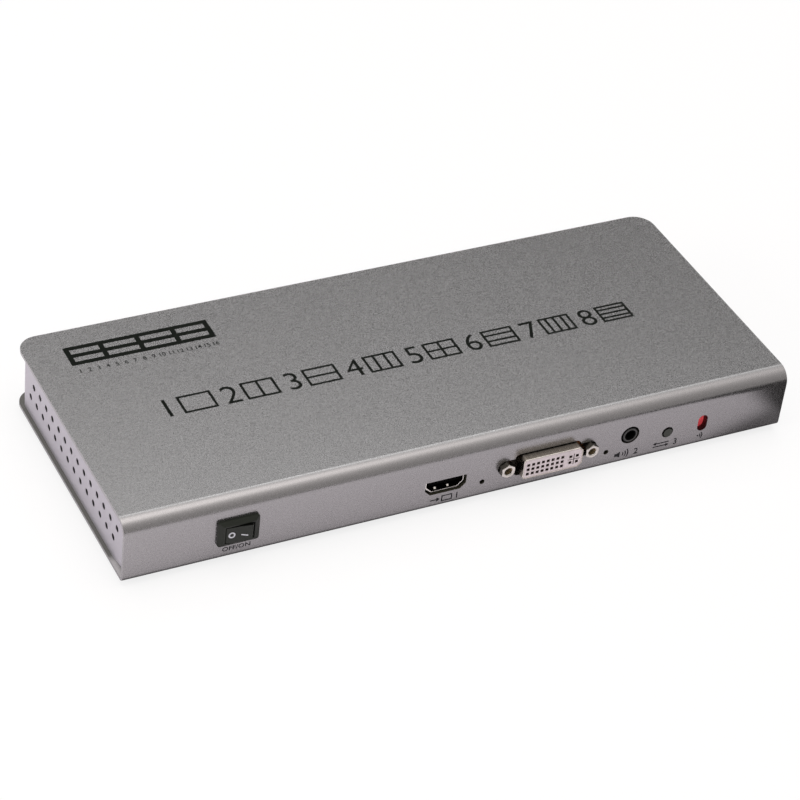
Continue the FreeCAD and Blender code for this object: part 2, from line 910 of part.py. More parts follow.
# Jack screw, drawn with its seat at zero depth and its face towards the front
def jack_screw():
    bar = hexagon(0, -hex_length, 0, hex_flats, hex_length, V(0, 1, 0))
    limit = Part.makeCone(hex_flats / 2 - hex_chamfer * 0.4, hex_flats / 2 + hex_chamfer * 1.6, hex_chamfer,
                          V(0, -hex_length, 0), V(0, 1, 0))
    limit = limit.fuse(rod_y(0, 0, hex_flats, hex_chamfer - hex_length, 0))
    bar = bar.common(limit)
    bar = bar.fuse(rod_y(0, 0, jack_shank_radius, 0, jack_shank_length))
    bar = bar.cut(rod_y(0, 0, jack_thread_radius, -hex_length - 1, jack_mouth_depth + jack_thread_depth
                        - hex_length))
    mouth = Part.makeCone(jack_mouth_radius, jack_thread_radius, jack_mouth_depth, V(0, -hex_length, 0),
                          V(0, 1, 0))
    return bar.cut(mouth).removeSplitter()


# Wide pin socket, drawn with its rim at zero depth
def pin_shell():
    tube = pin_form(0, 0, 0, 0, pin_reach + pin_flange_sheet / 2)
    flange = slab(0, pin_reach, pin_reach + pin_flange_sheet, 0, pin_flange_width, pin_flange_height)
    hollow = pin_form(-pin_wall, -pin_wall, -pin_wall, -1, pin_reach + pin_flange_sheet + 1)
    shell = joined([tube, flange]).cut(hollow)
    for sign in (-1, 1):
        shell = shell.cut(rod_y(sign * pin_screw_spacing / 2, 0, jack_shank_radius + screw_play / 2,
                                pin_reach - 1, pin_reach + 3))
    return shell


def pin_hole_places():
    top = pin_pitch * (pin_rows - 1) / 2 - pin_rows_drop
    grid = [(pin_first_x + column * pin_pitch, top - row * pin_pitch)
            for row in range(pin_rows) for column in range(pin_columns)]
    ring = [(cross_x + sx * cross_pitch / 2, sz * cross_pitch / 2 - pin_rows_drop)
            for sx in (-1, 1) for sz in (-1, 1)]
    return grid, ring


def pin_insert():
    front = pin_form(-pin_wall, -pin_wall, -pin_wall, face_setback, pin_reach + pin_flange_sheet)
    start = pin_reach + pin_flange_sheet
    rear = block(-pin_body_width / 2, pin_body_width / 2, start, start + pin_body_depth, -pin_rise, pin_body_top)
    insert = joined([front, rear])
    grid, ring = pin_hole_places()
    holes = [slab(x, -1, pin_hole_depth, z, pin_hole, pin_hole) for x, z in grid + ring]
    level = slab(cross_x, -1, pin_hole_depth, -pin_rows_drop, cross_length, cross_slit)
    upright_slit = slab(cross_x, -1, pin_hole_depth, -pin_rows_drop, cross_slit, cross_length)
    return insert.cut(Part.makeCompound(holes)).cut(level).cut(upright_slit)


# Nine-way control socket, drawn with its rim at zero depth
def control_shell():
    tube = control_form(0, 0, control_reach + control_flange_sheet / 2)
    flange = slab(0, control_reach, control_reach + control_flange_sheet, 0, control_flange_width,
                  control_flange_height)
    shell = joined([tube, flange])
    shell = shell.cut(control_form(-control_wall, -1, control_reach + control_flange_sheet + 1))
    for sign in (-1, 1):
        shell = shell.cut(rod_y(sign * control_screw_spacing / 2, 0, jack_shank_radius + screw_play / 2,
                                control_reach - 1, control_reach + 3))
    return shell


def control_insert():
    front = control_form(-control_wall, face_setback, control_reach + control_flange_sheet)
    start = control_reach + control_flange_sheet
    rear = block(-control_body_width / 2, control_body_width / 2, start, start + control_body_depth,
                 -control_rise, control_height / 2)
    insert = joined([front, rear])
    holes = []
    for count, z in ((5, control_row_gap / 2), (4, -control_row_gap / 2)):
        for i in range(count):
            x = (i - (count - 1) / 2) * control_pitch
            holes.append(rod_y(x, z, control_hole / 2, -1, pin_hole_depth))
    return insert.cut(Part.makeCompound(holes))


# Audio jack
def audio_jack_body():
    nose = rod_y(audio_x, audio_z, audio_nose / 2, front_y, front_y + audio_nose_length)
    start = front_y + audio_nose_length
    body = block(audio_x - audio_body_width / 2, audio_x + audio_body_width / 2, start,
                 start + audio_body_depth, board_top_z, audio_z + audio_body_top)
    jack = joined([nose, body])
    return jack.cut(rod_y(audio_x, audio_z, audio_bore / 2, front_y - 1, front_y + audio_bore_depth))


def audio_jack_pins():
    start = front_y + audio_nose_length
    pins = []
    for sign in (-1, 1):
        x = audio_x + sign * (audio_body_width + audio_pin_length) / 2
        for y in (start + audio_pin_inset, start + audio_body_depth - audio_pin_inset):
            pins.append(chip(x, y, audio_pin_length, audio_pin_width, board_top_z, audio_pin_sheet))
    return Part.makeCompound(pins)


# Push button
def select_button():
    flange_y = front_y - select_reach + select_length
    cap = rod_y(select_x, select_z, select_cap / 2, front_y - select_reach, flange_y)
    flange = rod_y(select_x, select_z, select_flange / 2, flange_y, flange_y + select_flange_sheet)
    stem_y = flange_y + select_flange_sheet
    dome_y = select_body_y() + select_body_depth - select_floor - select_dome_height
    stem = rod_y(select_x, select_z, select_stem / 2, stem_y, dome_y - select_travel - select_dome_gap)
    return joined([cap, flange, stem])


def select_body_y():
    return front_y - select_reach + select_length + select_flange_sheet + select_travel + select_gap


def select_switch_body():
    y = select_body_y()
    half = select_body_width / 2
    body = block(select_x - half, select_x + half, y, y + select_body_depth, board_top_z, select_z + half)
    well = rod_y(select_x, select_z, select_stem / 2 + select_stem_play, y - 1,
                 y + select_body_depth - select_floor)
    return body.cut(well)


def select_dome():
    y = select_body_y() + select_body_depth - select_floor
    radius = select_stem / 2
    return Part.makeCone(radius, radius * 0.45, select_dome_height, V(select_x, y, select_z), V(0, -1, 0))


# Remote-control window
def remote_holder():
    y0 = inner_front_y
    y1 = y0 + holder_depth + window_sheet
    frame = slab(remote_x, y0, y1, remote_z, holder_width, holder_height)
    frame = frame.cut(obround(remote_x, remote_z, remote_slot_width, remote_slot_height, y0 - 1, y1 + 1))
    return frame.cut(window_seat(y0 + holder_depth, y1 + 1))


def window_seat(y0, y1):
    return slab(remote_x, y0, y1, remote_z, holder_width - 2 * holder_lip, holder_height - 2 * holder_lip)


def remote_window():
    y0 = inner_front_y + holder_depth
    return window_seat(y0, y0 + window_sheet)


def remote_receiver():
    y0 = inner_front_y + holder_depth + window_sheet + receiver_gap
    half = receiver_width / 2
    lens = Part.makeSphere(receiver_lens, V(remote_x, y0 + receiver_lens, remote_z))
    body = block(remote_x - half, remote_x + half, y0 + receiver_lens_out, y0 + receiver_depth, board_top_z,
                 board_top_z + receiver_height)
    return joined([body, lens])


def indicator_lamps():
    lamps = []
    for x in lamp_places:
        lamps.append(slab(x, board_front_y, board_front_y + lamp_depth, lamp_z, lamp_width, 2 * lamp_rise))
    return Part.makeCompound(lamps)


# Power jack, drawn facing the front with its centre at zero
def power_body():
    nose = rod_y(0, 0, power_nose / 2, 0, power_nose_length)
    body = block(-power_body_width / 2, power_body_width / 2, power_nose_length,
                 power_nose_length + power_body_depth, -power_rise, power_body_top)
    jack = joined([nose, body]).cut(rod_y(0, 0, power_bore / 2, -1, power_bore_depth))
    return jack.cut(rod_y(0, 0, power_pin / 2, 0, power_nose_length + power_body_depth + 1))


def power_centre_pin():
    end = power_nose_length + power_body_depth
    pin = rod_y(0, 0, power_pin / 2, power_pin_setback, end)
    half = power_terminal_width / 2
    return joined([pin, block(-half, half, end, end + power_terminal_sheet, -power_rise, power_pin)])


# Parts on the board
def chip(x, y, width, depth, z, height):
    return block(x - width / 2, x + width / 2, y - depth / 2, y + depth / 2, z, z + height)


def main_chip():
    return chip(main_chip_x, board_middle_y, main_chip_size, main_chip_size, board_top_z,
                main_chip_height)


def heat_sink():
    y = board_middle_y
    z = board_top_z + main_chip_height + pad_sheet
    parts = [chip(main_chip_x, y, sink_size, sink_size, z, sink_base)]
    for i in range(fin_count):
        x = main_chip_x - sink_size / 2 + fin_sheet / 2 + i * (sink_size - fin_sheet) / (fin_count - 1)
        parts.append(chip(x, y, fin_sheet, sink_size, z + sink_base, sink_height - sink_base))
    return joined(parts)


def thermal_pad():
    return chip(main_chip_x, board_middle_y, main_chip_size, main_chip_size,
                board_top_z + main_chip_height, pad_sheet)


def memory_chips():
    chips = []
    reach = sink_size / 2 + memory_gap
    spacing = memory_depth + memory_space
    for x in (main_chip_x - reach, main_chip_x + reach):
        for y in (board_middle_y - spacing / 2, board_middle_y + spacing / 2):
            chips.append(chip(x, y, memory_width, memory_depth, board_top_z, memory_height))
    return Part.makeCompound(chips)


def transmitter_chips():
    y = rear_face_y - transmitter_back
    return Part.makeCompound([chip(x, y, transmitter_size, transmitter_size, board_top_z, transmitter_height)
                              for x in output_x])


def support_chips():
    """Three in a row behind the input sockets, and one behind the control socket."""
    places = [(main_chip_x + i * support_pitch, front_y + support_y) for i in (-1, 1, 2)]
    places.append((control_x, rear_face_y - transmitter_back))
    return Part.makeCompound([chip(x, y, support_size, support_size, board_top_z, support_height)
                              for x, y in places])


def capacitors():
    radius = can_diameter / 2
    top = board_top_z + can_height
    y = rear_face_y - can_back
    return Part.makeCompound([rod_z(power_x - can_left + i * can_pitch, y, radius, board_top_z, top)
                              for i in range(can_count)])


def inductors():
    x = power_x + coil_right
    y = rear_face_y - coil_back
    return Part.makeCompound([chip(x + i * coil_pitch, y, coil_size, coil_size, board_top_z, coil_height)
                              for i in range(coil_count)])


def crystals():
    cans = []
    x0 = main_chip_x + crystal_right - crystal_width / 2
    x1 = x0 + crystal_width
    for y in (board_middle_y - crystal_spacing / 2, board_middle_y + crystal_spacing / 2):
        y0 = y - crystal_depth / 2
        y1 = y + crystal_depth / 2
        points = [V(x0, y0, board_top_z), V(x1, y0, board_top_z), V(x1, y1, board_top_z), V(x0, y1, board_top_z)]
        cans.append(prism(points, [crystal_round] * 4, V(0, 0, crystal_height)))
    return Part.makeCompound(cans)


def build():
    slim_y = front_y + slim_setback
    pin_y = front_y - pin_face_out
    nodes = {
        "wrap_shell": wrap_shell(),
        "vented_chassis": vented_chassis(),
        "case_screws": case_screws(),
        "rubber_feet": rubber_feet(),
        "board_standoffs": board_standoffs(),
        "board_screws": board_screws(),
        "circuit_board": circuit_board(),
        "switch_housing": switch_housing(),
        "switch_rocker": switch_rocker(),
        "switch_plunger": switch_plunger(),
        "switch_contact": switch_contact(),
        "switch_terminals": switch_terminals(),
        "switch_wires": switch_wires(),
        "switch_plug": switch_plug(),
        "board_header": board_header(),
        "slim_input_shell": moved(slim_shell(), slim_input_x, slim_y, slim_z),
        "slim_input_tongue": moved(slim_tongue(), slim_input_x, slim_y, slim_z),
        "pin_input_shell": moved(pin_shell(), pin_input_x, pin_y, pin_z),
        "pin_input_insert": moved(pin_insert(), pin_input_x, pin_y, pin_z),
        "pin_input_screws": Part.makeCompound([moved(jack_screw(), pin_input_x + s * pin_screw_spacing / 2,
                                                     pin_y + pin_reach, pin_z) for s in (-1, 1)]),
        "audio_jack_body": audio_jack_body(),
        "audio_jack_pins": audio_jack_pins(),
        "select_button": select_button(),
        "select_switch_body": select_switch_body(),
        "select_dome": select_dome(),
        "remote_holder": remote_holder(),
        "remote_window": remote_window(),
        "remote_receiver": remote_receiver(),
        "indicator_lamps": indicator_lamps(),
        "power_jack_body": moved(turned(power_body(), rear_face_y), power_x, 0, power_z),
        "power_jack_pin": moved(turned(power_centre_pin(), rear_face_y), power_x, 0, power_z),
        "main_chip": main_chip(),
        "thermal_pad": thermal_pad(),
        "heat_sink": heat_sink(),
        "memory_chips": memory_chips(),
        "transmitter_chips": transmitter_chips(),
        "support_chips": support_chips(),
        "capacitors": capacitors(),
        "inductors": inductors(),
        "crystals": crystals(),
    }
    control_y = rear_inner_y + control_reach
    nodes["control_port_shell"] = moved(turned(control_shell(), control_y), control_x, 0, control_z)
    nodes["control_port_insert"] = moved(turned(control_insert(), control_y), control_x, 0, control_z)
    nodes["control_port_screws"] = Part.makeCompound(
        [moved(turned(jack_screw(), rear_face_y), control_x + s * control_screw_spacing / 2, 0, control_z)
         for s in (-1, 1)])
    for number, x in enumerate(output_x, 1):
        output_y = rear_face_y + slim_rear_out
        nodes["output_%d_shell" % number] = moved(turned(slim_shell(), output_y), x, 0, slim_z)
        nodes["output_%d_tongue" % number] = moved(turned(slim_tongue(), output_y), x, 0, slim_z)
    return nodes


os.makedirs("parts", exist_ok=True)
for name, shape in build().items():
    save(name, shape)
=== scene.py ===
"""The looks of a slim sheet-metal video wall controller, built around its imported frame.

All sizes in the dataclasses are millimetres, apart from those of the studio, which are metres. Meshes
are made in metres, in the frame's own axes: X to the right seen from the front, Y from the front to the
rear, Z up.
"""

from __future__ import annotations

import json
import logging
import math
from collections.abc import Callable
from dataclasses import dataclass
from enum import Enum

import bmesh
import bpy
from mathutils import Matrix, Vector


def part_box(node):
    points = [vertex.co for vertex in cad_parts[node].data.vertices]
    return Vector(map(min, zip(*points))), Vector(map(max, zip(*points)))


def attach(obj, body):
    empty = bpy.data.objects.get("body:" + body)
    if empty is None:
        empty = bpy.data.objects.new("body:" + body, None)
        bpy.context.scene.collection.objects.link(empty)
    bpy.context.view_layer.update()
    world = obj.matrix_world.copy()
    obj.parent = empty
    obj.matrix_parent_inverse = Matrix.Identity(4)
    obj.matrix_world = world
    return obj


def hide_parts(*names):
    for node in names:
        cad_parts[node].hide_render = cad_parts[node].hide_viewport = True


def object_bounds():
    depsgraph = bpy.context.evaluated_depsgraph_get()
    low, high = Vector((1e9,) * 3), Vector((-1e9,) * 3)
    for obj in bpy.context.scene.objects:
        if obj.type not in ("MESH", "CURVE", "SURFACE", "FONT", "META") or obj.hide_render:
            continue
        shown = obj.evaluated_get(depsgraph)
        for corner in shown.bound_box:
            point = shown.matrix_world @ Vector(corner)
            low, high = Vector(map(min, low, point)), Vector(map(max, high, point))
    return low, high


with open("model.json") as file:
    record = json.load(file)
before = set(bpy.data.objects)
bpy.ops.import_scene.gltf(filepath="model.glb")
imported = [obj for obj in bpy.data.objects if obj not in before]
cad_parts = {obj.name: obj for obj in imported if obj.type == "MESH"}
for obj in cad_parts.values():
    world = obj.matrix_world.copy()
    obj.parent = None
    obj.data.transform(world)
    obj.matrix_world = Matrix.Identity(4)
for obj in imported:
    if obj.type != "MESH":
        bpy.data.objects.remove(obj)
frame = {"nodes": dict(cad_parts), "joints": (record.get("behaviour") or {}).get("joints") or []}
CAD_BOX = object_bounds()

MM = 0.001
LOG = logging.getLogger("controller")
Colour = tuple[float, float, float]
Socket = bpy.types.NodeSocket


def spot(x: float, y: float, z: float) -> Vector:
    """A point given in millimetres, in metres."""
    return Vector((x, y, z)) * MM


@dataclass(frozen=True)
class Extent:
    """The box of a frame node, in millimetres."""

    low: Vector
    high: Vector

    @classmethod
    def of(cls, node: str) -> "Extent":
        """The extent of a node at rest.

        Args:
            node: Name of the frame node.

        Returns:
            Its lowest and highest corners in millimetres.
        """
        low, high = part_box(node)
        return cls(low / MM, high / MM)

    @property
    def middle(self) -> Vector:
        """The centre of the box."""
        return (self.low + self.high) / 2

    def mouth(self, facing: int) -> float:
        """Place along Y of the end that faces the front, for -1, or the rear, for 1."""
        return self.low.y if facing < 0 else self.high.y


# Node graphs and finishes


class Graph:
    """Adds nodes to a tree, with their inputs given as values or as other nodes' sockets."""

    def __init__(self, tree: bpy.types.NodeTree) -> None:
        """Keep the tree and empty it.

        Args:
            tree: The node tree to build in.
        """
        self.tree = tree
        self.tree.nodes.clear()

    def add(self, kind: str, inputs: dict | None = None, **settings: object) -> bpy.types.Node:
        """Add one node.

        Args:
            kind: Identifier of the node type.
            inputs: Values or sockets by input name or number.
            settings: Properties of the node itself.

        Returns:
            The new node.
        """
        node = self.tree.nodes.new(kind)
        for name, value in settings.items():
            setattr(node, name, value)
        self.fill(node, inputs or {})
        return node

    def fill(self, node: bpy.types.Node, inputs: dict) -> None:
        """Give a node's inputs their values, or join them to sockets.

        Args:
            node: The node.
            inputs: Values or sockets by input name or number.
        """
        for key, value in inputs.items():
            socket = node.inputs[key]
            if isinstance(value, Socket):
                self.tree.links.new(value, socket)
            else:
                socket.default_value = value

    def math(self, operation: str, a: object, b: object = 0.0) -> Socket:
        """One arithmetic step between two values or sockets, as a socket."""
        return self.add("ShaderNodeMath", {0: a, 1: b}, operation=operation).outputs[0]

    def total(self, *shares: tuple[Socket, float]) -> Socket:
        """The sum of sockets, each times its share.

        Args:
            shares: Sockets with their shares.

        Returns:
            The socket with the sum.
        """
        parts = [self.math("MULTIPLY", value, share) for value, share in shares]
        sum_so_far = parts[0]
        for part in parts[1:]:
            sum_so_far = self.math("ADD", sum_so_far, part)
        return sum_so_far

    def span(self, value: Socket, low: float, high: float, start: float = 0.0,
             end: float = 1.0) -> Socket:
        """Stretch a value from one range to another and hold it at their ends.

        Args:
            value: Socket with the value.
            low: Value that becomes start.
            high: Value that becomes end.
            start: Result at low.
            end: Result at high.

        Returns:
            The socket with the result.
        """
        return self.add("ShaderNodeMapRange", {0: value, 1: low, 2: high, 3: start, 4: end}).outputs[0]

    def blend(self, factor: object, first: object, second: object, kind: str = "MIX") -> Socket:
        """Two colours mixed by a factor, as a socket."""
        return self.add("ShaderNodeMix", {0: factor, 6: first, 7: second}, data_type="RGBA",
                        blend_type=kind).outputs[2]

    def axes(self, place: Socket) -> bpy.types.NodeOutputs:
        """The three coordinates of a place, by their letters."""
        return self.add("ShaderNodeSeparateXYZ", {0: place}).outputs

    def ramp(self, factor: Socket, stops: list[tuple[float, Colour]]) -> Socket:
        """A colour ramp over a factor.

        Args:
            factor: Socket with the value between 0 and 1.
            stops: Places and colours along the ramp.

        Returns:
            The colour socket.
        """
        node = self.add("ShaderNodeValToRGB", {0: factor})
        elements = node.color_ramp.elements
        elements.remove(elements[1])
        elements[0].position = stops[0][0]
        elements[0].color = (*stops[0][1], 1.0)
        for place, colour in stops[1:]:
            elements.new(place).color = (*colour, 1.0)
        return node.outputs[0]

    def noise(self, place: object, scale: float, detail: float = 2.0) -> Socket:
        """Noise over object space, its factor as a socket."""
        node = self.add("ShaderNodeTexNoise", {"Vector": place, "Scale": scale, "Detail": detail})
        return node.outputs[0]

    def drawn(self, place: Socket, scale: tuple[float, float, float]) -> Socket:
        """A place with its axes scaled, for a pattern that is longer one way."""
        return self.add("ShaderNodeMapping", {0: place, "Scale": scale}).outputs[0]


def scaled(colour: Colour, factor: float) -> Colour:
    """A colour made lighter or darker by a factor."""
    return tuple(min(1.0, channel * factor) for channel in colour)


class Finish:
    """A material that is built once and then shared by the pieces that wear it."""

    name: str

    def build(self) -> bpy.types.Material:
        """The material, built on first use."""
        found = bpy.data.materials.get(self.name + "_finish")
        if found is not None:
            return found
        material = bpy.data.materials.new(self.name + "_finish")
        material.use_nodes = True
        graph = Graph(material.node_tree)
        shader = graph.add("ShaderNodeBsdfPrincipled")
        graph.add("ShaderNodeOutputMaterial", {"Surface": shader.outputs[0]})
        place = graph.add("ShaderNodeTexCoord").outputs["Object"]
        self.dress(graph, shader, place)
        return material

    def dress(self, graph: Graph, shader: bpy.types.Node, place: Socket) -> None:
        """Fill the shader's inputs.

        Args:
            graph: The material's graph.
            shader: Its principled shader.
            place: Socket with the object coordinates.
        """
        raise NotImplementedError

    @staticmethod
    def bump(graph: Graph, shader: bpy.types.Node, height: object, strength: float,
             depth: float) -> None:
        """Join a height socket to the shader as bump.

        Args:
            graph: The material's graph.
            shader: Its principled shader.
            height: Socket with the height.
            strength: Share of the bump that is used.
            depth: Height of the relief in millimetres.
        """
        relief = {"Strength": strength, "Distance": depth * MM, "Height": height}
        graph.fill(shader, {"Normal": graph.add("ShaderNodeBump", relief).outputs[0]})

    @staticmethod
    def depth_shade(graph: Graph, shader: bpy.types.Node, place: Socket, start: float, length: float,
             shade_colour: Colour) -> None:
        """Paint shade along Y: let the shader's colour turn to another one.

        Args:
            graph: The material's graph.
            shader: Its principled shader, with its colour joined.
            place: Socket with the object coordinates.
            start: Where the change starts, in millimetres.
            length: How far it takes, in millimetres.
            shade_colour: The colour of the painted shade behind it.
        """
        tint = shader.inputs["Base Color"].links[0].from_socket
        deep = graph.span(graph.axes(place)["Y"], start * MM, (start + length) * MM)
        graph.fill(shader, {"Base Color": graph.blend(deep, tint, (*shade_colour, 1.0))})


@dataclass(frozen=True)
class CasePaint(Finish):
    """Satin paint with fine metal flakes on bent sheet."""

    name: str
    colour: Colour
    metallic: float = 0.92
    roughness: float = 0.25
    contrast: float = 0.042
    flakes: float = 2300.0
    cloud: float = 28.0
    relief: float = 0.0038
    # Side and rear limits beyond which the paint shows; within them the sheet gets painted shade.
    skin: tuple[float, float] | None = None
    inside_shade_share: float = 0.12

    def dress(self, graph: Graph, shader: bpy.types.Node, place: Socket) -> None:
        """Flakes in colour and roughness, a soft cloudiness, and the paint's slight orange peel."""
        flakes = graph.noise(place, self.flakes)
        grains = graph.add("ShaderNodeTexVoronoi", {"Vector": place, "Scale": self.flakes * 1.5})
        grain = graph.add("ShaderNodeSeparateColor", {0: grains.outputs["Color"]}).outputs[0]
        cloud = graph.noise(place, self.cloud, 3.0)
        mixed = graph.total((flakes, 0.6), (grain, 0.28), (cloud, 0.12))
        low = scaled(self.colour, 1.0 - self.contrast)
        high = scaled(self.colour, 1.0 + self.contrast)
        tint = graph.ramp(mixed, [(0.3, low), (0.5, self.colour), (0.7, high)])
        if self.skin:
            tint = self.shaded_inside(graph, place, tint)
        gloss = graph.span(grain, 0.0, 1.0, self.roughness - 0.05, self.roughness + 0.07)
        graph.fill(shader, {"Base Color": tint, "Roughness": gloss, "Metallic": self.metallic})
        peel = graph.total((flakes, 1.0), (grain, 0.3))
        self.bump(graph, shader, peel, 0.4, self.relief)

    def shaded_inside(self, graph: Graph, place: Socket, tint: Socket) -> Socket:
        """Darken the inside of the sheet with painted shade, for the shade in its holes and behind its
        walls.

        Args:
            graph: The material's graph.
            place: Socket with the object coordinates.
            tint: Socket with the paint's colour.

        Returns:
            The socket with both colours.
        """
        axes = graph.axes(place)
        beside = graph.math("SUBTRACT", graph.math("ABSOLUTE", axes["X"]), self.skin[0] * MM)
        behind = graph.math("SUBTRACT", axes["Y"], self.skin[1] * MM)
        outer = graph.math("GREATER_THAN", graph.math("MAXIMUM", beside, behind), 0.0)
        return graph.blend(outer, (*scaled(self.colour, self.inside_shade_share), 1.0), tint)


@dataclass(frozen=True)
class MouldedPlastic(Finish):
    """Plastic with the fine spark-eroded grain of its mould."""

    name: str
    colour: Colour
    roughness: float = 0.42
    grain: float = 2600.0
    mottle: float = 180.0
    relief: float = 0.012
    shine: float = 0.5

    def dress(self, graph: Graph, shader: bpy.types.Node, place: Socket) -> None:
        """Mottled colour, uneven gloss and mould grain."""
        fine = graph.noise(place, self.grain, 3.0)
        broad = graph.noise(place, self.mottle)
        tone = graph.total((fine, 0.5), (broad, 0.5))
        tint = graph.ramp(tone, [(0.3, scaled(self.colour, 0.86)), (0.7, scaled(self.colour, 1.14))])
        gloss = graph.span(broad, 0.3, 0.7, self.roughness - 0.05, self.roughness + 0.06)
        graph.fill(shader, {"Base Color": tint, "Roughness": gloss, "Specular IOR Level": self.shine})
        self.bump(graph, shader, fine, 0.5, self.relief)


class Grain(Enum):
    """The way in which a metal's fine lines run."""

    NONE = (1.0, 1.0, 1.0)
    ALONG_X = (0.03, 1.0, 1.0)
    ALONG_Y = (1.0, 0.03, 1.0)
    ALONG_Z = (1.0, 1.0, 0.03)


@dataclass(frozen=True)
class BareMetal(Finish):
    """Plated or rolled metal with fine lines and small stains."""

    name: str
    colour: Colour
    roughness: float = 0.25
    grain: Grain = Grain.NONE
    stain: float = 0.2
    stain_scale: float = 420.0
    line_scale: float = 5200.0
    relief: float = 0.008

    def dress(self, graph: Graph, shader: bpy.types.Node, place: Socket) -> None:
        """Rolled lines in gloss and bump, and darker stains."""
        lines = graph.noise(graph.drawn(place, self.grain.value), self.line_scale)
        stains = graph.noise(place, self.stain_scale, 4.0)
        tint = graph.ramp(stains, [(0.3, scaled(self.colour, 1.0 - self.stain)), (0.6, self.colour)])
        gloss = graph.span(lines, 0.25, 0.75, self.roughness - 0.07, self.roughness + 0.12)
        graph.fill(shader, {"Base Color": tint, "Roughness": gloss, "Metallic": 1.0})
        self.bump(graph, shader, lines, 0.3, self.relief)


@dataclass(frozen=True)
class ShadedMetal(BareMetal):
    """Drawn metal with painted shade that darkens it from its mouth towards its root."""

    front: float = 0.0
    depth: float = 1.0
    shade_colour: Colour = (0.1, 0.1, 0.1)

    def dress(self, graph: Graph, shader: bpy.types.Node, place: Socket) -> None:
        """The bare metal's look, with painted shade that deepens along Y."""
        super().dress(graph, shader, place)
        self.depth_shade(graph, shader, place, self.front, self.depth, self.shade_colour)


@dataclass(frozen=True)
class DepthShadedPlastic(MouldedPlastic):
    """Pale material with painted shade behind a plane."""

    face: float = 0.0
    lip: float = 0.05
    depth: float = 0.25
    # Colour of the painted shade.
    bore: Colour = (0.055, 0.030, 0.019)

    def dress(self, graph: Graph, shader: bpy.types.Node, place: Socket) -> None:
        """The own look in front, and painted shade from a little behind the plane."""
        super().dress(graph, shader, place)
        self.depth_shade(graph, shader, place, self.face + self.lip, self.depth, self.bore)


@dataclass(frozen=True)
class SoftRubber(Finish):
    """Matt rubber with dust in its pores."""

    name: str
    colour: Colour
    roughness: float = 0.85
    pore_scale: float = 1500.0
    dust_scale: float = 240.0
    pore_depth: float = 0.03

    def dress(self, graph: Graph, shader: bpy.types.Node, place: Socket) -> None:
        """Dusty mottling and a pitted surface."""
        pores = graph.noise(place, self.pore_scale, 5.0)
        dust = graph.noise(place, self.dust_scale, 3.0)
        tint = graph.ramp(dust, [(0.35, self.colour), (0.75, scaled(self.colour, 1.9))])
        graph.fill(shader, {"Base Color": tint, "Roughness": self.roughness})
        self.bump(graph, shader, pores, 0.6, self.pore_depth)


@dataclass(frozen=True)
class TintedLens(Finish):
    """Glossy see-through plastic of one tint."""

    name: str
    colour: Colour
    transmission: float
    roughness: float = 0.12
    # Emission: painted light that makes the lens glow, though it is no lamp.
    glow: Colour = (0.0, 0.0, 0.0)
    flow_scale: float = 300.0
    bending: float = 1.49
    coat: float = 0.4

    def dress(self, graph: Graph, shader: bpy.types.Node, place: Socket) -> None:
        """Slight flow marks in tint and surface."""
        flow = graph.noise(place, self.flow_scale)
        tint = graph.ramp(flow, [(0.3, scaled(self.colour, 0.8)), (0.7, scaled(self.colour, 1.15))])
        graph.fill(shader, {"Base Color": tint, "Roughness": self.roughness, "IOR": self.bending,
                            "Transmission Weight": self.transmission, "Coat Weight": self.coat,
                            "Emission Color": (*self.glow, 1.0), "Emission Strength": 1.0})
        self.bump(graph, shader, flow, 0.2, 0.02)


@dataclass(frozen=True)
class SolderMask(Finish):
    """The lacquer of a circuit board, with tracks showing through."""

    name: str
    colour: Colour
    track: Colour
    cells: float = 420.0
    stretch: tuple[float, float, float] = (1.0, 0.35, 1.0)
    bands: float = 6.0

    def dress(self, graph: Graph, shader: bpy.types.Node, place: Socket) -> None:
        """Lighter tracks as bands round stretched cells."""
        squeezed = graph.drawn(place, self.stretch)
        cells = graph.add("ShaderNodeTexVoronoi", {"Vector": squeezed, "Scale": self.cells},
                          distance="MANHATTAN").outputs["Distance"]
        wave = graph.math("PINGPONG", graph.math("MULTIPLY", cells, self.bands), 1.0)
        tint = graph.ramp(wave, [(0.42, self.colour), (0.5, self.track), (0.58, self.colour)])
        graph.fill(shader, {"Base Color": tint, "Roughness": 0.32, "Coat Weight": 0.3})
        self.bump(graph, shader, wave, 0.4, 0.02)


@dataclass(frozen=True)
class ScreenInk(Finish):
    """Screen-printed ink, slightly uneven at its edges."""

    name: str
    colour: Colour
    roughness: float = 0.6
    shine: float = 0.06
    weave_scale: float = 3800.0
    patch_scale: float = 260.0
    relief: float = 0.006

    def dress(self, graph: Graph, shader: bpy.types.Node, place: Socket) -> None:
        """Patchy density and a faint weave of the printing screen."""
        weave = graph.noise(place, self.weave_scale)
        patch = graph.noise(place, self.patch_scale)
        tone = graph.total((weave, 0.4), (patch, 0.6))
        tint = graph.ramp(tone, [(0.35, scaled(self.colour, 0.8)), (0.68, scaled(self.colour, 1.25))])
        graph.fill(shader, {"Base Color": tint, "Roughness": self.roughness,
                            "Specular IOR Level": self.shine})
        self.bump(graph, shader, weave, 0.3, self.relief)


CASE_PAINT = CasePaint("case_paint", (0.345, 0.34, 0.341))
# The chassis is darker inside its walls: painted shade.
CHASSIS_PAINT = CasePaint("chassis_paint", (0.48, 0.465, 0.50), metallic=0.6, roughness=0.4,
                          contrast=0.05, skin=(125.95, 47.65))
# Light grey paint for the inner side of the wrap, with painted shade from Y = -42 mm towards the rear.
INNER_PAINT_AND_SHADE = DepthShadedPlastic("inner_paint_and_shade", (0.6, 0.59, 0.6), roughness=0.6, relief=0.006, shine=0.3,
                           face=-42.0, depth=4.0, bore=(0.15, 0.15, 0.14))
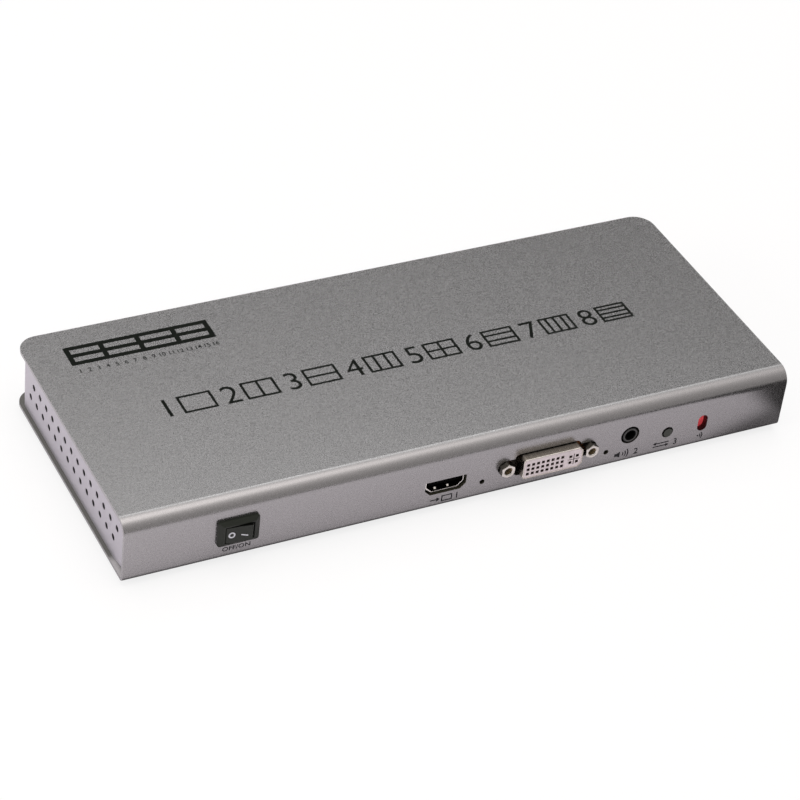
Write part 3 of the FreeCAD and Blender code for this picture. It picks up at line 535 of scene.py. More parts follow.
# Painted shade, tinted red by a painted reflection of the window.
SLOT_WALL_RED_SHADE = MouldedPlastic("slot_wall_red_shade", (0.015, 0.003, 0.003), roughness=0.4, relief=0.006, shine=0.4)
# Painted red light from the window, in shade, on the black holder.
HOLDER_RED_SHADE = MouldedPlastic("holder_red_shade", (0.05, 0.005, 0.006), roughness=0.35, relief=0.006, shine=0.4)
# Painted shade for the walls of the openings in the front.
CUT_EDGE_SHADE = MouldedPlastic("cut_edge_shade", (0.035, 0.033, 0.022), roughness=0.6, relief=0.006, shine=0.2)
# Dead black: painted shade in gaps, recesses and bores, and the black of the slim input's tongue.
BLACK_AND_SHADE = MouldedPlastic("black_and_shade", (0.003, 0.003, 0.003), roughness=0.8, shine=0.02)
SWITCH_BLACK = MouldedPlastic("switch_black", (0.013, 0.016, 0.011), roughness=0.36, relief=0.015,
                              shine=0.3)
SOCKET_BLACK = MouldedPlastic("socket_black", (0.007, 0.007, 0.007), roughness=0.4, shine=0.2)
NOSE_GREY = MouldedPlastic("nose_grey", (0.06, 0.06, 0.058), roughness=0.4, shine=0.3)
BUTTON_GREY = MouldedPlastic("button_grey", (0.042, 0.046, 0.038), roughness=0.4, relief=0.02, shine=0.3)
# The insert's holes are darker behind its face: painted shade.
INSERT_WHITE = DepthShadedPlastic("insert_white", (0.70, 0.63, 0.64), roughness=0.35, relief=0.006,
                            face=Extent.of("pin_input_insert").low.y)
PLUG_WHITE = MouldedPlastic("plug_white", (0.80, 0.76, 0.66), roughness=0.4)
CHIP_BLACK = MouldedPlastic("chip_black", (0.022, 0.022, 0.025), roughness=0.55, grain=5200.0,
                            relief=0.01)
COIL_GREY = MouldedPlastic("coil_grey", (0.10, 0.10, 0.105), roughness=0.6, grain=2200.0, relief=0.04)
NICKEL_SHELL = BareMetal("nickel_shell", (0.56, 0.51, 0.45), roughness=0.24, grain=Grain.ALONG_Y)
NICKEL_SCREW = BareMetal("nickel_screw", (0.72, 0.69, 0.64), roughness=0.2, grain=Grain.ALONG_Y)
BRIGHT_STEEL = BareMetal("bright_steel", (0.66, 0.66, 0.68), roughness=0.28, grain=Grain.ALONG_X)
FLANGE_BRONZE = BareMetal("flange_bronze", (0.30, 0.13, 0.055), roughness=0.4)
FLANGE_SHADE = BareMetal("flange_shade", (0.05, 0.045, 0.038), roughness=0.4)
# Satin metal far lighter than nickel: painted highlight on the slim shells' rims.
RIM_HIGHLIGHT = BareMetal("satin_rim_highlight", (0.96, 0.94, 0.89), roughness=0.5)
# The wide socket's shell turns darker towards its flange: painted shade.
SHADED_DRAWN_SHELL = ShadedMetal("drawn_shell", (0.56, 0.51, 0.44), roughness=0.26, grain=Grain.ALONG_Y,
                         front=-53.6, depth=3.4, shade_colour=(0.19, 0.175, 0.15))
# Nickel far lighter than the shells: painted highlight on rims and spring leaves.
NICKEL_HIGHLIGHT = BareMetal("nickel_rim", (0.92, 0.89, 0.83), roughness=0.3)
SHADED_NICKEL = BareMetal("shaded_nickel", (0.19, 0.18, 0.155), roughness=0.28, grain=Grain.ALONG_Y)
# Nickel darkened nearly to black: painted shade inside the slim shells.
INNER_NICKEL_SHADE = BareMetal("inner_nickel_shade", (0.05, 0.046, 0.04), roughness=0.35, grain=Grain.ALONG_Y)
BLACK_SCREW = BareMetal("black_screw", (0.06, 0.06, 0.062), roughness=0.4)
PLATED_BRASS = BareMetal("plated_brass", (0.72, 0.55, 0.26), roughness=0.28, grain=Grain.ALONG_Y)
CONTACT_GOLD = BareMetal("contact_gold", (0.78, 0.58, 0.24), roughness=0.22, grain=Grain.ALONG_Y)
THREAD_BRASS = BareMetal("thread_brass", (0.34, 0.26, 0.15), roughness=0.3)
SINK_METAL = BareMetal("sink_aluminium", (0.50, 0.51, 0.53), roughness=0.42, grain=Grain.ALONG_Y)
CAN_METAL = BareMetal("can_aluminium", (0.64, 0.64, 0.66), roughness=0.3, grain=Grain.ALONG_Z)
FOOT_RUBBER = SoftRubber("foot_rubber", (0.022, 0.022, 0.023))
WIRE_COVER = SoftRubber("wire_cover", (0.36, 0.02, 0.02), roughness=0.5)
PAD_RUBBER = SoftRubber("pad_grey", (0.22, 0.23, 0.26), roughness=0.7)
# The red window glows a little: painted light for light scattered through it.
RED_WINDOW = TintedLens("window_red", (1.0, 0.12, 0.13), transmission=0.05, roughness=0.16,
                        glow=(0.16, 0.012, 0.016))
CLEAR_LAMP = TintedLens("lamp_clear", (0.03, 0.03, 0.035), transmission=0.3)
BOARD_GREEN = SolderMask("board_green", (0.012, 0.11, 0.045), (0.03, 0.20, 0.08))
DARK_INK = ScreenInk("dark_ink", (0.006, 0.008, 0.006))
GREY_INK = ScreenInk("grey_ink", (0.022, 0.023, 0.025))
WHITE_INK = ScreenInk("white_ink", (0.62, 0.63, 0.67), roughness=0.45)


# Making and placing pieces

MERGE_DISTANCE = 1e-6
FLAT_ANGLE = math.radians(0.4)
BEVEL_ANGLE = math.radians(30.0)
RIM_STEPS = 5
MARK_SINK = 0.01
ARC_STEP = 8
ARC_LEAST = 6
TOUCH = 0.001
NO_TURN = Vector((0, 0, 0))
RIGHT, BACK, UP = Vector((1, 0, 0)), Vector((0, 1, 0)), Vector((0, 0, 1))


def settle(piece: bpy.types.Object, finish: Finish, body: str, slot: str,
           *nodes: str) -> bpy.types.Object:
    """Dress a finished piece and bind it to the frame.

    Args:
        piece: The piece, with its place in its mesh.
        finish: What it wears.
        body: The body that it rides on.
        slot: Not used.
        nodes: Frame nodes that it stands for.

    Returns:
        The same piece.
    """
    if not piece.data.materials:
        piece.data.materials.append(finish.build())
    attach(piece, body)
    if nodes:
        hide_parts(*nodes)
    LOG.info("%s: %d faces on %s", piece.name, len(piece.data.polygons), body)
    return piece


def mesh_piece(name: str, shape: bmesh.types.BMesh, smooth_angle: float = 35.0) -> bpy.types.Object:
    """Turn a bmesh into an object at the origin.

    Args:
        name: Name of the piece.
        shape: Its mesh, in metres. It is freed.
        smooth_angle: Edges sharper than this many degrees stay sharp.

    Returns:
        The new object.
    """
    bmesh.ops.recalc_face_normals(shape, faces=shape.faces)
    mesh = bpy.data.meshes.new(name)
    shape.to_mesh(mesh)
    shape.free()
    mesh.shade_smooth()
    mesh.set_sharp_from_angle(angle=math.radians(smooth_angle))
    piece = bpy.data.objects.new(name, mesh)
    bpy.context.scene.collection.objects.link(piece)
    return piece


def baked(source: bpy.types.Object, name: str) -> bpy.types.Object:
    """A plain mesh object made from another object with its modifiers.

    Args:
        source: The object with live modifiers. It is removed.
        name: Name of the result.

    Returns:
        The new object.
    """
    bpy.context.view_layer.update()
    evaluated = source.evaluated_get(bpy.context.evaluated_depsgraph_get())
    mesh = bpy.data.meshes.new_from_object(evaluated)
    bpy.data.objects.remove(source)
    mesh.name = name
    piece = bpy.data.objects.new(name, mesh)
    bpy.context.scene.collection.objects.link(piece)
    return piece


def softened(node: str, name: str, width: float, segments: int, finish: Finish, rim: float = 0.0,
             on_rim: Callable[[bmesh.types.BMEdge], bool] | None = None) -> bpy.types.Object:
    """A copy of a frame node with its sharp edges broken.

    Args:
        node: The frame node.
        name: Name of the piece.
        width: Width of the broken edge in millimetres.
        segments: Steps across it.
        finish: What the piece wears.
        rim: Width of a rounding that is made first, in millimetres.
        on_rim: Test for the edges that get it.

    Returns:
        The new piece.
    """
    shape = bmesh.new()
    shape.from_mesh(frame["nodes"][node].data)
    bmesh.ops.remove_doubles(shape, verts=shape.verts, dist=MERGE_DISTANCE)
    bmesh.ops.dissolve_limit(shape, angle_limit=FLAT_ANGLE, verts=shape.verts, edges=shape.edges)
    if on_rim:
        edges = [edge for edge in shape.edges if on_rim(edge)]
        bmesh.ops.bevel(shape, geom=edges, offset=rim * MM, segments=RIM_STEPS, profile=0.5,
                        affect="EDGES", clamp_overlap=True)
    mesh = bpy.data.meshes.new(name)
    shape.to_mesh(mesh)
    shape.free()
    mesh.materials.clear()
    mesh.materials.append(finish.build())
    mesh.shade_smooth()
    source = bpy.data.objects.new(name + "_source", mesh)
    bpy.context.scene.collection.objects.link(source)
    bevel = source.modifiers.new("edge", "BEVEL")
    bevel.width = width * MM
    bevel.segments = segments
    bevel.limit_method = "ANGLE"
    bevel.angle_limit = BEVEL_ANGLE
    bevel.use_clamp_overlap = True
    bevel.miter_outer = "MITER_ARC"
    normals = source.modifiers.new("normals", "WEIGHTED_NORMAL")
    normals.weight = 100
    return baked(source, name)


def two_tone(piece: bpy.types.Object, finish: Finish,
             chosen: Callable[[Vector, Vector], bool]) -> None:
    """Give some faces of a piece a further finish.

    Args:
        piece: The piece.
        finish: What the chosen faces wear.
        chosen: Test on a face's centre in millimetres and its normal.
    """
    piece.data.materials.append(finish.build())
    for face in piece.data.polygons:
        if chosen(face.center / MM, face.normal):
            face.material_index = len(piece.data.materials) - 1


def lathe(profile: list[tuple[float, float]], centre: Vector, axis: Vector,
          steps: int = 48) -> bmesh.types.BMesh:
    """A closed ring turned round an axis.

    Args:
        profile: Closed outline as radius and place along the axis, in millimetres.
        centre: Point on the axis, in millimetres.
        axis: Direction of the axis.
        steps: Number of steps round it.

    Returns:
        The mesh, in metres.
    """
    shape = bmesh.new()
    turn = UP.rotation_difference(axis).to_matrix()
    rings = []
    for i in range(steps):
        angle = math.tau * i / steps
        spoke = Vector((math.cos(angle), math.sin(angle), 0))
        rings.append([shape.verts.new((centre + turn @ (spoke * r + UP * h)) * MM) for r, h in profile])
    for i, ring in enumerate(rings):
        other = rings[(i + 1) % steps]
        for j in range(len(profile)):
            k = (j + 1) % len(profile)
            shape.faces.new((ring[j], other[j], other[k], ring[k]))
    return shape


class Stencil:
    """Flat marks drawn in two directions of a surface, cut out with a slight thickness."""

    def __init__(self, origin: Vector, across: Vector, up: Vector, thickness: float = 0.03) -> None:
        """Lay the stencil on a surface.

        Args:
            origin: Where its zero lies, in millimetres.
            across: Direction of the first coordinate.
            up: Direction of the second coordinate.
            thickness: Thickness of the marks in millimetres.
        """
        self.origin = origin
        self.across = across.normalized()
        self.up = up.normalized()
        self.out = self.across.cross(self.up)
        self.thickness = thickness
        self.shape = bmesh.new()

    def lay(self, outline: list[tuple[float, float]]) -> None:
        """Add one filled outline, given in turn round it."""
        rings = [[self.shape.verts.new(self.at(u, v, level)) for u, v in outline]
                 for level in (-MARK_SINK, self.thickness)]
        count = len(outline)
        self.shape.faces.new(list(reversed(rings[0])))
        self.shape.faces.new(rings[1])
        for i in range(count):
            j = (i + 1) % count
            self.shape.faces.new((rings[0][i], rings[0][j], rings[1][j], rings[1][i]))

    def at(self, u: float, v: float, level: float) -> Vector:
        """A point of the stencil at a level above the surface, in metres."""
        return (self.origin + self.across * u + self.up * v + self.out * level) * MM

    def bar(self, u0: float, v0: float, u1: float, v1: float) -> None:
        """Add a filled rectangle between two corners."""
        self.lay([(u0, v0), (u1, v0), (u1, v1), (u0, v1)])

    def stroke(self, start: tuple[float, float], end: tuple[float, float], line: float) -> None:
        """Add a straight stroke of one width."""
        a, b = Vector(start), Vector(end)
        side = (b - a).normalized().orthogonal() * line / 2
        self.lay([tuple(a - side), tuple(b - side), tuple(b + side), tuple(a + side)])

    def frame(self, u0: float, v0: float, u1: float, v1: float, line: float) -> None:
        """Add the outline of a rectangle."""
        self.bar(u0, v0, u1, v0 + line)
        self.bar(u0, v1 - line, u1, v1)
        self.bar(u0, v0 + line, u0 + line, v1 - line)
        self.bar(u1 - line, v0 + line, u1, v1 - line)

    def arc(self, centre: tuple[float, float], radius: float, line: float, start: float,
            end: float) -> None:
        """Add a round stroke.

        Args:
            centre: Its centre.
            radius: Radius of its middle line.
            line: Its width.
            start: Angle in degrees where it starts.
            end: Angle in degrees where it ends.
        """
        steps = max(ARC_LEAST, int(abs(end - start) / ARC_STEP))
        for i in range(steps):
            corners = []
            inner, outer = radius - line / 2, radius + line / 2
            for part, r in ((i, inner), (i, outer), (i + 1, outer), (i + 1, inner)):
                angle = math.radians(start + (end - start) * part / steps)
                corners.append((centre[0] + r * math.cos(angle), centre[1] + r * math.sin(angle)))
            self.lay(corners)

    def letters(self, text: str, u: float, v: float, height: float, width: float | None = None,
                weight: float = 0.012) -> None:
        """Add generic letters or numbers, centred on a point.

        Args:
            text: What is printed.
            u: Centre across.
            v: Foot of the letters.
            height: Height of a capital in millimetres.
            width: Width of the whole word, or its own width if None.
            weight: How much bolder than plain the strokes are.
        """
        curve = bpy.data.curves.new("letters", "FONT")
        curve.body = text
        curve.resolution_u = 4
        curve.offset = weight
        holder = bpy.data.objects.new("letters", curve)
        bpy.context.scene.collection.objects.link(holder)
        flat = baked(holder, "letters")
        outline = bmesh.new()
        outline.from_mesh(flat.data)
        bpy.data.objects.remove(flat)
        xs = [vert.co.x for vert in outline.verts]
        ys = [vert.co.y for vert in outline.verts]
        size = height / (max(ys) - min(ys))
        stretch = width / (max(xs) - min(xs)) if width else size
        faces = bmesh.ops.extrude_face_region(outline, geom=list(outline.faces))
        raised = {vert for vert in faces["geom"] if isinstance(vert, bmesh.types.BMVert)}
        middle = (max(xs) + min(xs)) / 2
        for vert in outline.verts:
            level = self.thickness if vert in raised else -MARK_SINK
            vert.co = self.at(u + (vert.co.x - middle) * stretch, v + (vert.co.y - min(ys)) * size,
                              level)
        passed = bpy.data.meshes.new("letters")
        outline.to_mesh(passed)
        outline.free()
        self.shape.from_mesh(passed)

    def cut(self, name: str) -> bpy.types.Object:
        """The finished marks as one piece."""
        return mesh_piece(name, self.shape)


# Geometry Nodes patterns


class Pattern:
    """A node tree that repeats or sweeps a small form, turned into a plain mesh."""

    def __init__(self, name: str, sockets: list[tuple[str, str]]) -> None:
        """Start a tree with named inputs and one geometry output.

        Args:
            name: Name of the tree.
            sockets: Name and short type of each input.
        """
        self.tree = bpy.data.node_groups.new(name, "GeometryNodeTree")
        self.graph = Graph(self.tree)
        self.tree.interface.new_socket(name="Geometry", in_out="OUTPUT",
                                       socket_type="NodeSocketGeometry")
        self.keys: dict[str, str] = {}
        for label, kind in sockets:
            item = self.tree.interface.new_socket(name=label, in_out="INPUT",
                                                  socket_type="NodeSocket" + kind)
            self.keys[label] = item.identifier
        self.inputs = self.graph.add("NodeGroupInput").outputs

    def end(self, geometry: Socket, finish: Finish) -> None:
        """Realise, turn and place the geometry, give it its material and send it out.

        Args:
            geometry: Socket with the geometry.
            finish: What it wears.
        """
        add, given = self.graph.add, self.inputs
        real = add("GeometryNodeRealizeInstances", {0: geometry}).outputs[0]
        placed = add("GeometryNodeTransform", {0: real, "Translation": given["Place"],
                                               "Rotation": given["Turn"]}).outputs[0]
        dressed = add("GeometryNodeSetMaterial", {0: placed, "Material": finish.build()}).outputs[0]
        add("NodeGroupOutput", {0: dressed})

    def run(self, name: str, values: dict[str, object]) -> bpy.types.Object:
        """Build one piece from the tree.

        Args:
            name: Name of the piece.
            values: Value of each named input.

        Returns:
            The piece as a plain mesh.
        """
        holder = bpy.data.objects.new(name + "_holder", bpy.data.meshes.new(name + "_holder"))
        bpy.context.scene.collection.objects.link(holder)
        modifier = holder.modifiers.new("pattern", "NODES")
        modifier.node_group = self.tree
        for label, value in values.items():
            modifier[self.keys[label]] = value
        return baked(holder, name)


class BlockGrid(Pattern):
    """Small blocks on a grid of columns and rows."""

    def __init__(self, finish: Finish) -> None:
        """Build the tree.

        Args:
            finish: What the blocks wear.
        """
        super().__init__("blocks_" + finish.name, [
            ("Columns", "Int"), ("Rows", "Int"), ("Pitch X", "Float"), ("Pitch Y", "Float"),
            ("Block", "Vector"), ("Place", "Vector"), ("Turn", "Vector")])
        graph, given = self.graph, self.inputs
        spans = []
        for count, pitch in (("Columns", "Pitch X"), ("Rows", "Pitch Y")):
            gaps = graph.math("SUBTRACT", given[count], 1.0)
            spans.append(graph.math("MULTIPLY", gaps, given[pitch]))
        grid = graph.add("GeometryNodeMeshGrid", {
            "Size X": spans[0], "Size Y": spans[1],
            "Vertices X": given["Columns"], "Vertices Y": given["Rows"]})
        block = graph.add("GeometryNodeMeshCube", {"Size": given["Block"]})
        placed = graph.add("GeometryNodeInstanceOnPoints", {"Points": grid.outputs[0],
                                                            "Instance": block.outputs[0]})
        self.end(placed.outputs[0], finish)

    def lay(self, name: str, count: tuple[int, int], pitch: tuple[float, float], block: Vector,
            place: Vector, turn: Vector = NO_TURN) -> bpy.types.Object:
        """Build one grid of blocks.

        Args:
            name: Name of the piece.
            count: Columns and rows.
            pitch: Distance of columns and of rows, in millimetres.
            block: Size of a block, in metres.
            place: Middle of the grid, in metres.
            turn: How the grid is turned, in radians.

        Returns:
            The piece as a plain mesh.
        """
        return self.run(name, {"Columns": count[0], "Rows": count[1], "Pitch X": pitch[0] * MM,
                               "Pitch Y": pitch[1] * MM, "Block": block, "Place": place, "Turn": turn})


class Thread(Pattern):
    """A screw thread as a ridge swept along a helix."""

    STEPS = 24
    CORNERS = 4

    def __init__(self, finish: Finish) -> None:
        """Build the tree.

        Args:
            finish: What the ridge wears.
        """
        super().__init__("thread_" + finish.name, [
            ("Turns", "Float"), ("Radius", "Float"), ("Length", "Float"), ("Ridge", "Float"),
            ("Place", "Vector"), ("Turn", "Vector")])
        graph, given = self.graph, self.inputs
        helix = graph.add("GeometryNodeCurveSpiral", {
            "Resolution": self.STEPS, "Rotations": given["Turns"], "Height": given["Length"],
            "Start Radius": given["Radius"], "End Radius": given["Radius"]})
        ridge = graph.add("GeometryNodeCurvePrimitiveCircle", {
            "Resolution": self.CORNERS, "Radius": given["Ridge"]}, mode="RADIUS")
        swept = graph.add("GeometryNodeCurveToMesh", {0: helix.outputs[0], 1: ridge.outputs[0],
                                                      "Fill Caps": True})
        self.end(swept.outputs[0], finish)


class SmallParts(Pattern):
    """Small surface-mounted parts strewn over a rectangle of the board."""

    def __init__(self, finish: Finish) -> None:
        """Build the tree.

        Args:
            finish: What the parts wear.
        """
        super().__init__("strewn_" + finish.name, [
            ("Columns", "Int"), ("Rows", "Int"), ("Width", "Float"), ("Depth", "Float"),
            ("Share", "Float"), ("Seed", "Int"), ("Block", "Vector"), ("Place", "Vector"),
            ("Turn", "Vector")])
        graph, given = self.graph, self.inputs
        grid = graph.add("GeometryNodeMeshGrid", {
            "Size X": given["Width"], "Size Y": given["Depth"],
            "Vertices X": given["Columns"], "Vertices Y": given["Rows"]})
        chosen = graph.add("FunctionNodeRandomValue", {
            "Probability": given["Share"], "Seed": given["Seed"]}, data_type="BOOLEAN")
        quarter = graph.add("FunctionNodeRandomValue", {4: 0, 5: 1, "Seed": given["Seed"]},
                            data_type="INT")
        angle = graph.math("MULTIPLY", quarter.outputs[2], math.pi / 2)
        turn = graph.add("ShaderNodeCombineXYZ", {2: angle})
        block = graph.add("GeometryNodeMeshCube", {"Size": given["Block"]})
        placed = graph.add("GeometryNodeInstanceOnPoints", {
            "Points": grid.outputs[0], "Selection": chosen.outputs[3],
            "Instance": block.outputs[0], "Rotation": turn.outputs[0]})
        self.end(placed.outputs[0], finish)


# Sub-assemblies


@dataclass
class Sheetwork:
    """The painted wrap and the vented chassis inside it."""

    edge: float = 0.14
    chassis_edge: float = 0.1
    sheet: float = 1.2
    top_bend: float = 5.5
    print_height: float = 0.02
    slot_margin: float = 1.5
    side_normal: float = 0.3
    front_skip: float = 0.3
    floor_skip: float = 1.0
    cut_back: float = 0.05

    def build(self) -> None:
        """Break the sheets' edges and paint them."""
        wrap = softened("wrap_shell", "case_wrap", self.edge, 3, CASE_PAINT)
        box = Extent.of("wrap_shell")
        # The inner side of the sheet: light grey paint, with painted shade further in.
        two_tone(wrap, INNER_PAINT_AND_SHADE, lambda place, normal: self.inside(box, place, normal))
        # The walls of the openings in the front wear painted shade.
        two_tone(wrap, CUT_EDGE_SHADE, lambda place, normal: self.in_front_cut(box, place, normal))
        slot = Extent.of("remote_window")
        # The walls of the window's slot wear painted shade with a painted red reflection of the window.
        two_tone(wrap, SLOT_WALL_RED_SHADE, lambda place, normal: self.in_front_cut(box, place, normal)
                 and slot.low.x - self.slot_margin < place.x < slot.high.x + self.slot_margin)
        self.seat_print(wrap, box.high.z)
        settle(wrap, CASE_PAINT, "case", "case_paint", "wrap_shell")
        chassis = softened("vented_chassis", "side_walls", self.chassis_edge, 2, CHASSIS_PAINT)
        settle(chassis, CHASSIS_PAINT, "case", "chassis_paint", "vented_chassis")

    def inside(self, box: Extent, place: Vector, normal: Vector) -> bool:
        """Whether a face belongs to the sheet's inner side.

        Args:
            box: The wrap's extent.
            place: Centre of the face.
            normal: Its direction.

        Returns:
            True on the inner side.
        """
        if abs(normal.x) > self.side_normal or place.y < box.low.y + self.front_skip:
            return False
        middle = Vector((0, self.top_bend + box.low.y, (box.low.z + box.high.z) / 2))
        return normal.y * (middle.y - place.y) + normal.z * (middle.z - place.z) > 0

    def in_front_cut(self, box: Extent, place: Vector, normal: Vector) -> bool:
        """Whether a face is a wall of an opening in the front."""
        low, high = box.low.z + self.sheet + self.floor_skip, box.high.z - self.top_bend
        deep = box.low.y + self.edge * 1.2 < place.y < box.low.y + self.sheet - self.cut_back
        within = low < place.z < high and abs(place.x) < box.high.x - self.floor_skip
        return deep and within and abs(normal.y) < self.side_normal

    def seat_print(self, wrap: bpy.types.Object, top: float) -> None:
        """Sink the flat top by the height of the ink that is printed on it."""
        for vert in wrap.data.vertices:
            if vert.co.z > (top - TOUCH) * MM:
                vert.co.z -= self.print_height * MM


@dataclass
class TopPrint:
    """Generic pictograms of screen layouts printed on the top."""

    ink: float = 0.02
    line: float = 0.95
    block_line: float = 1.9
    row_foot: float = -3.0
    row_height: float = 9.4
    row_left: float = -94.0
    row_right: float = 94.0
    block_left: float = -113.5
    block_foot: float = 34.0
    block_width: float = 54.0
    block_height: float = 10.5
    strip_foot: float = 29.4
    strip_height: float = 2.0
    ticks: int = 16
    block_layout: tuple[int, int] = (4, 2)
    number_shift: float = 2.6
    number_weight: float = -0.004
    wall_shift: float = 7.4
    wall_width: float = 12.6
    layouts: tuple[tuple[int, int], ...] = ((1, 1), (2, 1), (1, 2), (3, 1), (2, 2), (1, 3), (4, 1),
                                            (1, 4))

    def build(self) -> None:
        """Print the row of layouts, and the block with its strip behind it."""
        top = Extent.of("wrap_shell").high.z - self.ink
        stencil = Stencil(Vector((0, 0, top)), RIGHT, BACK, self.ink)
        self.layout_row(stencil)
        self.tile_block(stencil)
        settle(stencil.cut("top_print"), DARK_INK, "case", "case_paint")

    def layout_row(self, stencil: Stencil) -> None:
        """Each layout is a framed wall of screens with its number beside it.

        Args:
            stencil: Where it is drawn.
        """
        pitch = (self.row_right - self.row_left) / len(self.layouts)
        for i, layout in enumerate(self.layouts):
            left = self.row_left + i * pitch
            stencil.letters(str(i + 1), left + self.number_shift, self.row_foot, self.row_height,
                            weight=self.number_weight)
            self.wall(stencil, left + self.wall_shift, self.row_foot, self.wall_width,
                      self.row_height, layout, self.line)

    @staticmethod
    def wall(stencil: Stencil, u: float, v: float, width: float, height: float,
             layout: tuple[int, int], line: float) -> None:
        """One wall of screens.

        Args:
            stencil: Where it is drawn.
            u: Its left end.
            v: Its foot.
            width: Its width.
            height: Its height.
            layout: Screens side by side and above each other.
            line: Width of the lines.
        """
        columns, rows = layout
        stencil.frame(u, v, u + width, v + height, line)
        for column in range(1, columns):
            middle = u + width * column / columns
            stencil.bar(middle - line / 2, v + line, middle + line / 2, v + height - line)
        for row in range(1, rows):
            middle = v + height * row / rows
            for column in range(columns):
                start = u + width * column / columns + (line if column == 0 else line / 2)
                end = u + width * (column + 1) / columns - (line if column == columns - 1 else line / 2)
                stencil.bar(start, middle - line / 2, end, middle + line / 2)

    def tile_block(self, stencil: Stencil) -> None:
        """A bold wall of screens over a thin row of numbers.

        Args:
            stencil: Where it is drawn.
        """
        self.wall(stencil, self.block_left, self.block_foot, self.block_width, self.block_height,
                  self.block_layout, self.block_line)
        for i in range(self.ticks):
            u = self.block_left + self.block_width * (i + 0.5) / self.ticks
            stencil.letters(str(i + 1), u, self.strip_foot, self.strip_height)


@dataclass
class FrontPrint:
    """Small marks under the sockets: OFF and ON, plain numbers and signs.

    The methods draw each sign in millimetres from its middle.
    """

    mark_height: float = 2.6
    foot: float = 5.0
    input_foot: float = 4.45
    swap_foot: float = 5.15
    wave_foot: float = 5.2
    word_foot: float = 5.35
    word_height: float = 1.75
    word_width: float = 10.2
    wave_angle: float = 34.0
    line: float = 0.42

    def build(self) -> None:
        """Print all marks of the front."""
        wrap = Extent.of("wrap_shell")
        stencil = Stencil(Vector((0, wrap.low.y, 0)), RIGHT, UP)
        stencil.letters("OFF/ON", Extent.of("switch_housing").middle.x, self.word_foot,
                        self.word_height, self.word_width)
        self.input_sign(stencil, Extent.of("slim_input_shell").middle.x, self.input_foot)
        self.sound_sign(stencil, Extent.of("audio_jack_body").middle.x, self.foot)
        self.swap_sign(stencil, Extent.of("select_button").middle.x, self.swap_foot)
        self.wave_sign(stencil, Extent.of("remote_window").middle.x, self.wave_foot)
        settle(stencil.cut("front_print"), GREY_INK, "case", "case_paint")

    def input_sign(self, stencil: Stencil, u: float, v: float) -> None:
        """An arrow into a screen, and the number 1."""
        height = self.mark_height
        middle = v + height / 2
        stencil.stroke((u - 5.4, middle), (u - 2.8, middle), self.line)
        stencil.lay([(u - 3.0, middle - 0.9), (u - 1.6, middle), (u - 3.0, middle + 0.9)])
        stencil.frame(u - 1.1, v, u + 3.1, v + height, self.line)
        stencil.letters("1", u + 4.9, v, height)

    def sound_sign(self, stencil: Stencil, u: float, v: float) -> None:
        """A small loudspeaker with three waves, and the number 2."""
        height = self.mark_height
        middle = v + height / 2
        stencil.bar(u - 5.2, middle - 0.6, u - 4.3, middle + 0.6)
        stencil.lay([(u - 4.3, middle - 0.6), (u - 3.0, v), (u - 3.0, v + height),
                     (u - 4.3, middle + 0.6)])
        for radius in (1.2, 2.2, 3.2):
            stencil.arc((u - 2.9, middle), radius, self.line, -self.wave_angle, self.wave_angle)
        stencil.letters("2", u + 3.6, v, height)

    def swap_sign(self, stencil: Stencil, u: float, v: float) -> None:
        """Two arrows that point past each other, and the number 3."""
        height = self.mark_height
        for level, side in ((0.25, 1), (0.75, -1)):
            w = v + height * level
            stencil.stroke((u - 1.9 - side * 3.2, w), (u - 1.9 + side * 2.2, w), self.line)
            tip = u - 1.9 + side * 3.4
            stencil.lay([(tip - side * 1.4, w - 0.7), (tip, w), (tip - side * 1.4, w + 0.7)])
        stencil.letters("3", u + 4.0, v, height)

    def wave_sign(self, stencil: Stencil, u: float, v: float) -> None:
        """Two round waves and a dot for the remote window."""
        for radius in (0.95, 1.75):
            stencil.arc((u - 1.0, v + 1.2), radius, self.line, -45, 45)
        stencil.arc((u - 1.0, v + 1.2), 0.15, 0.3, 0, 360)


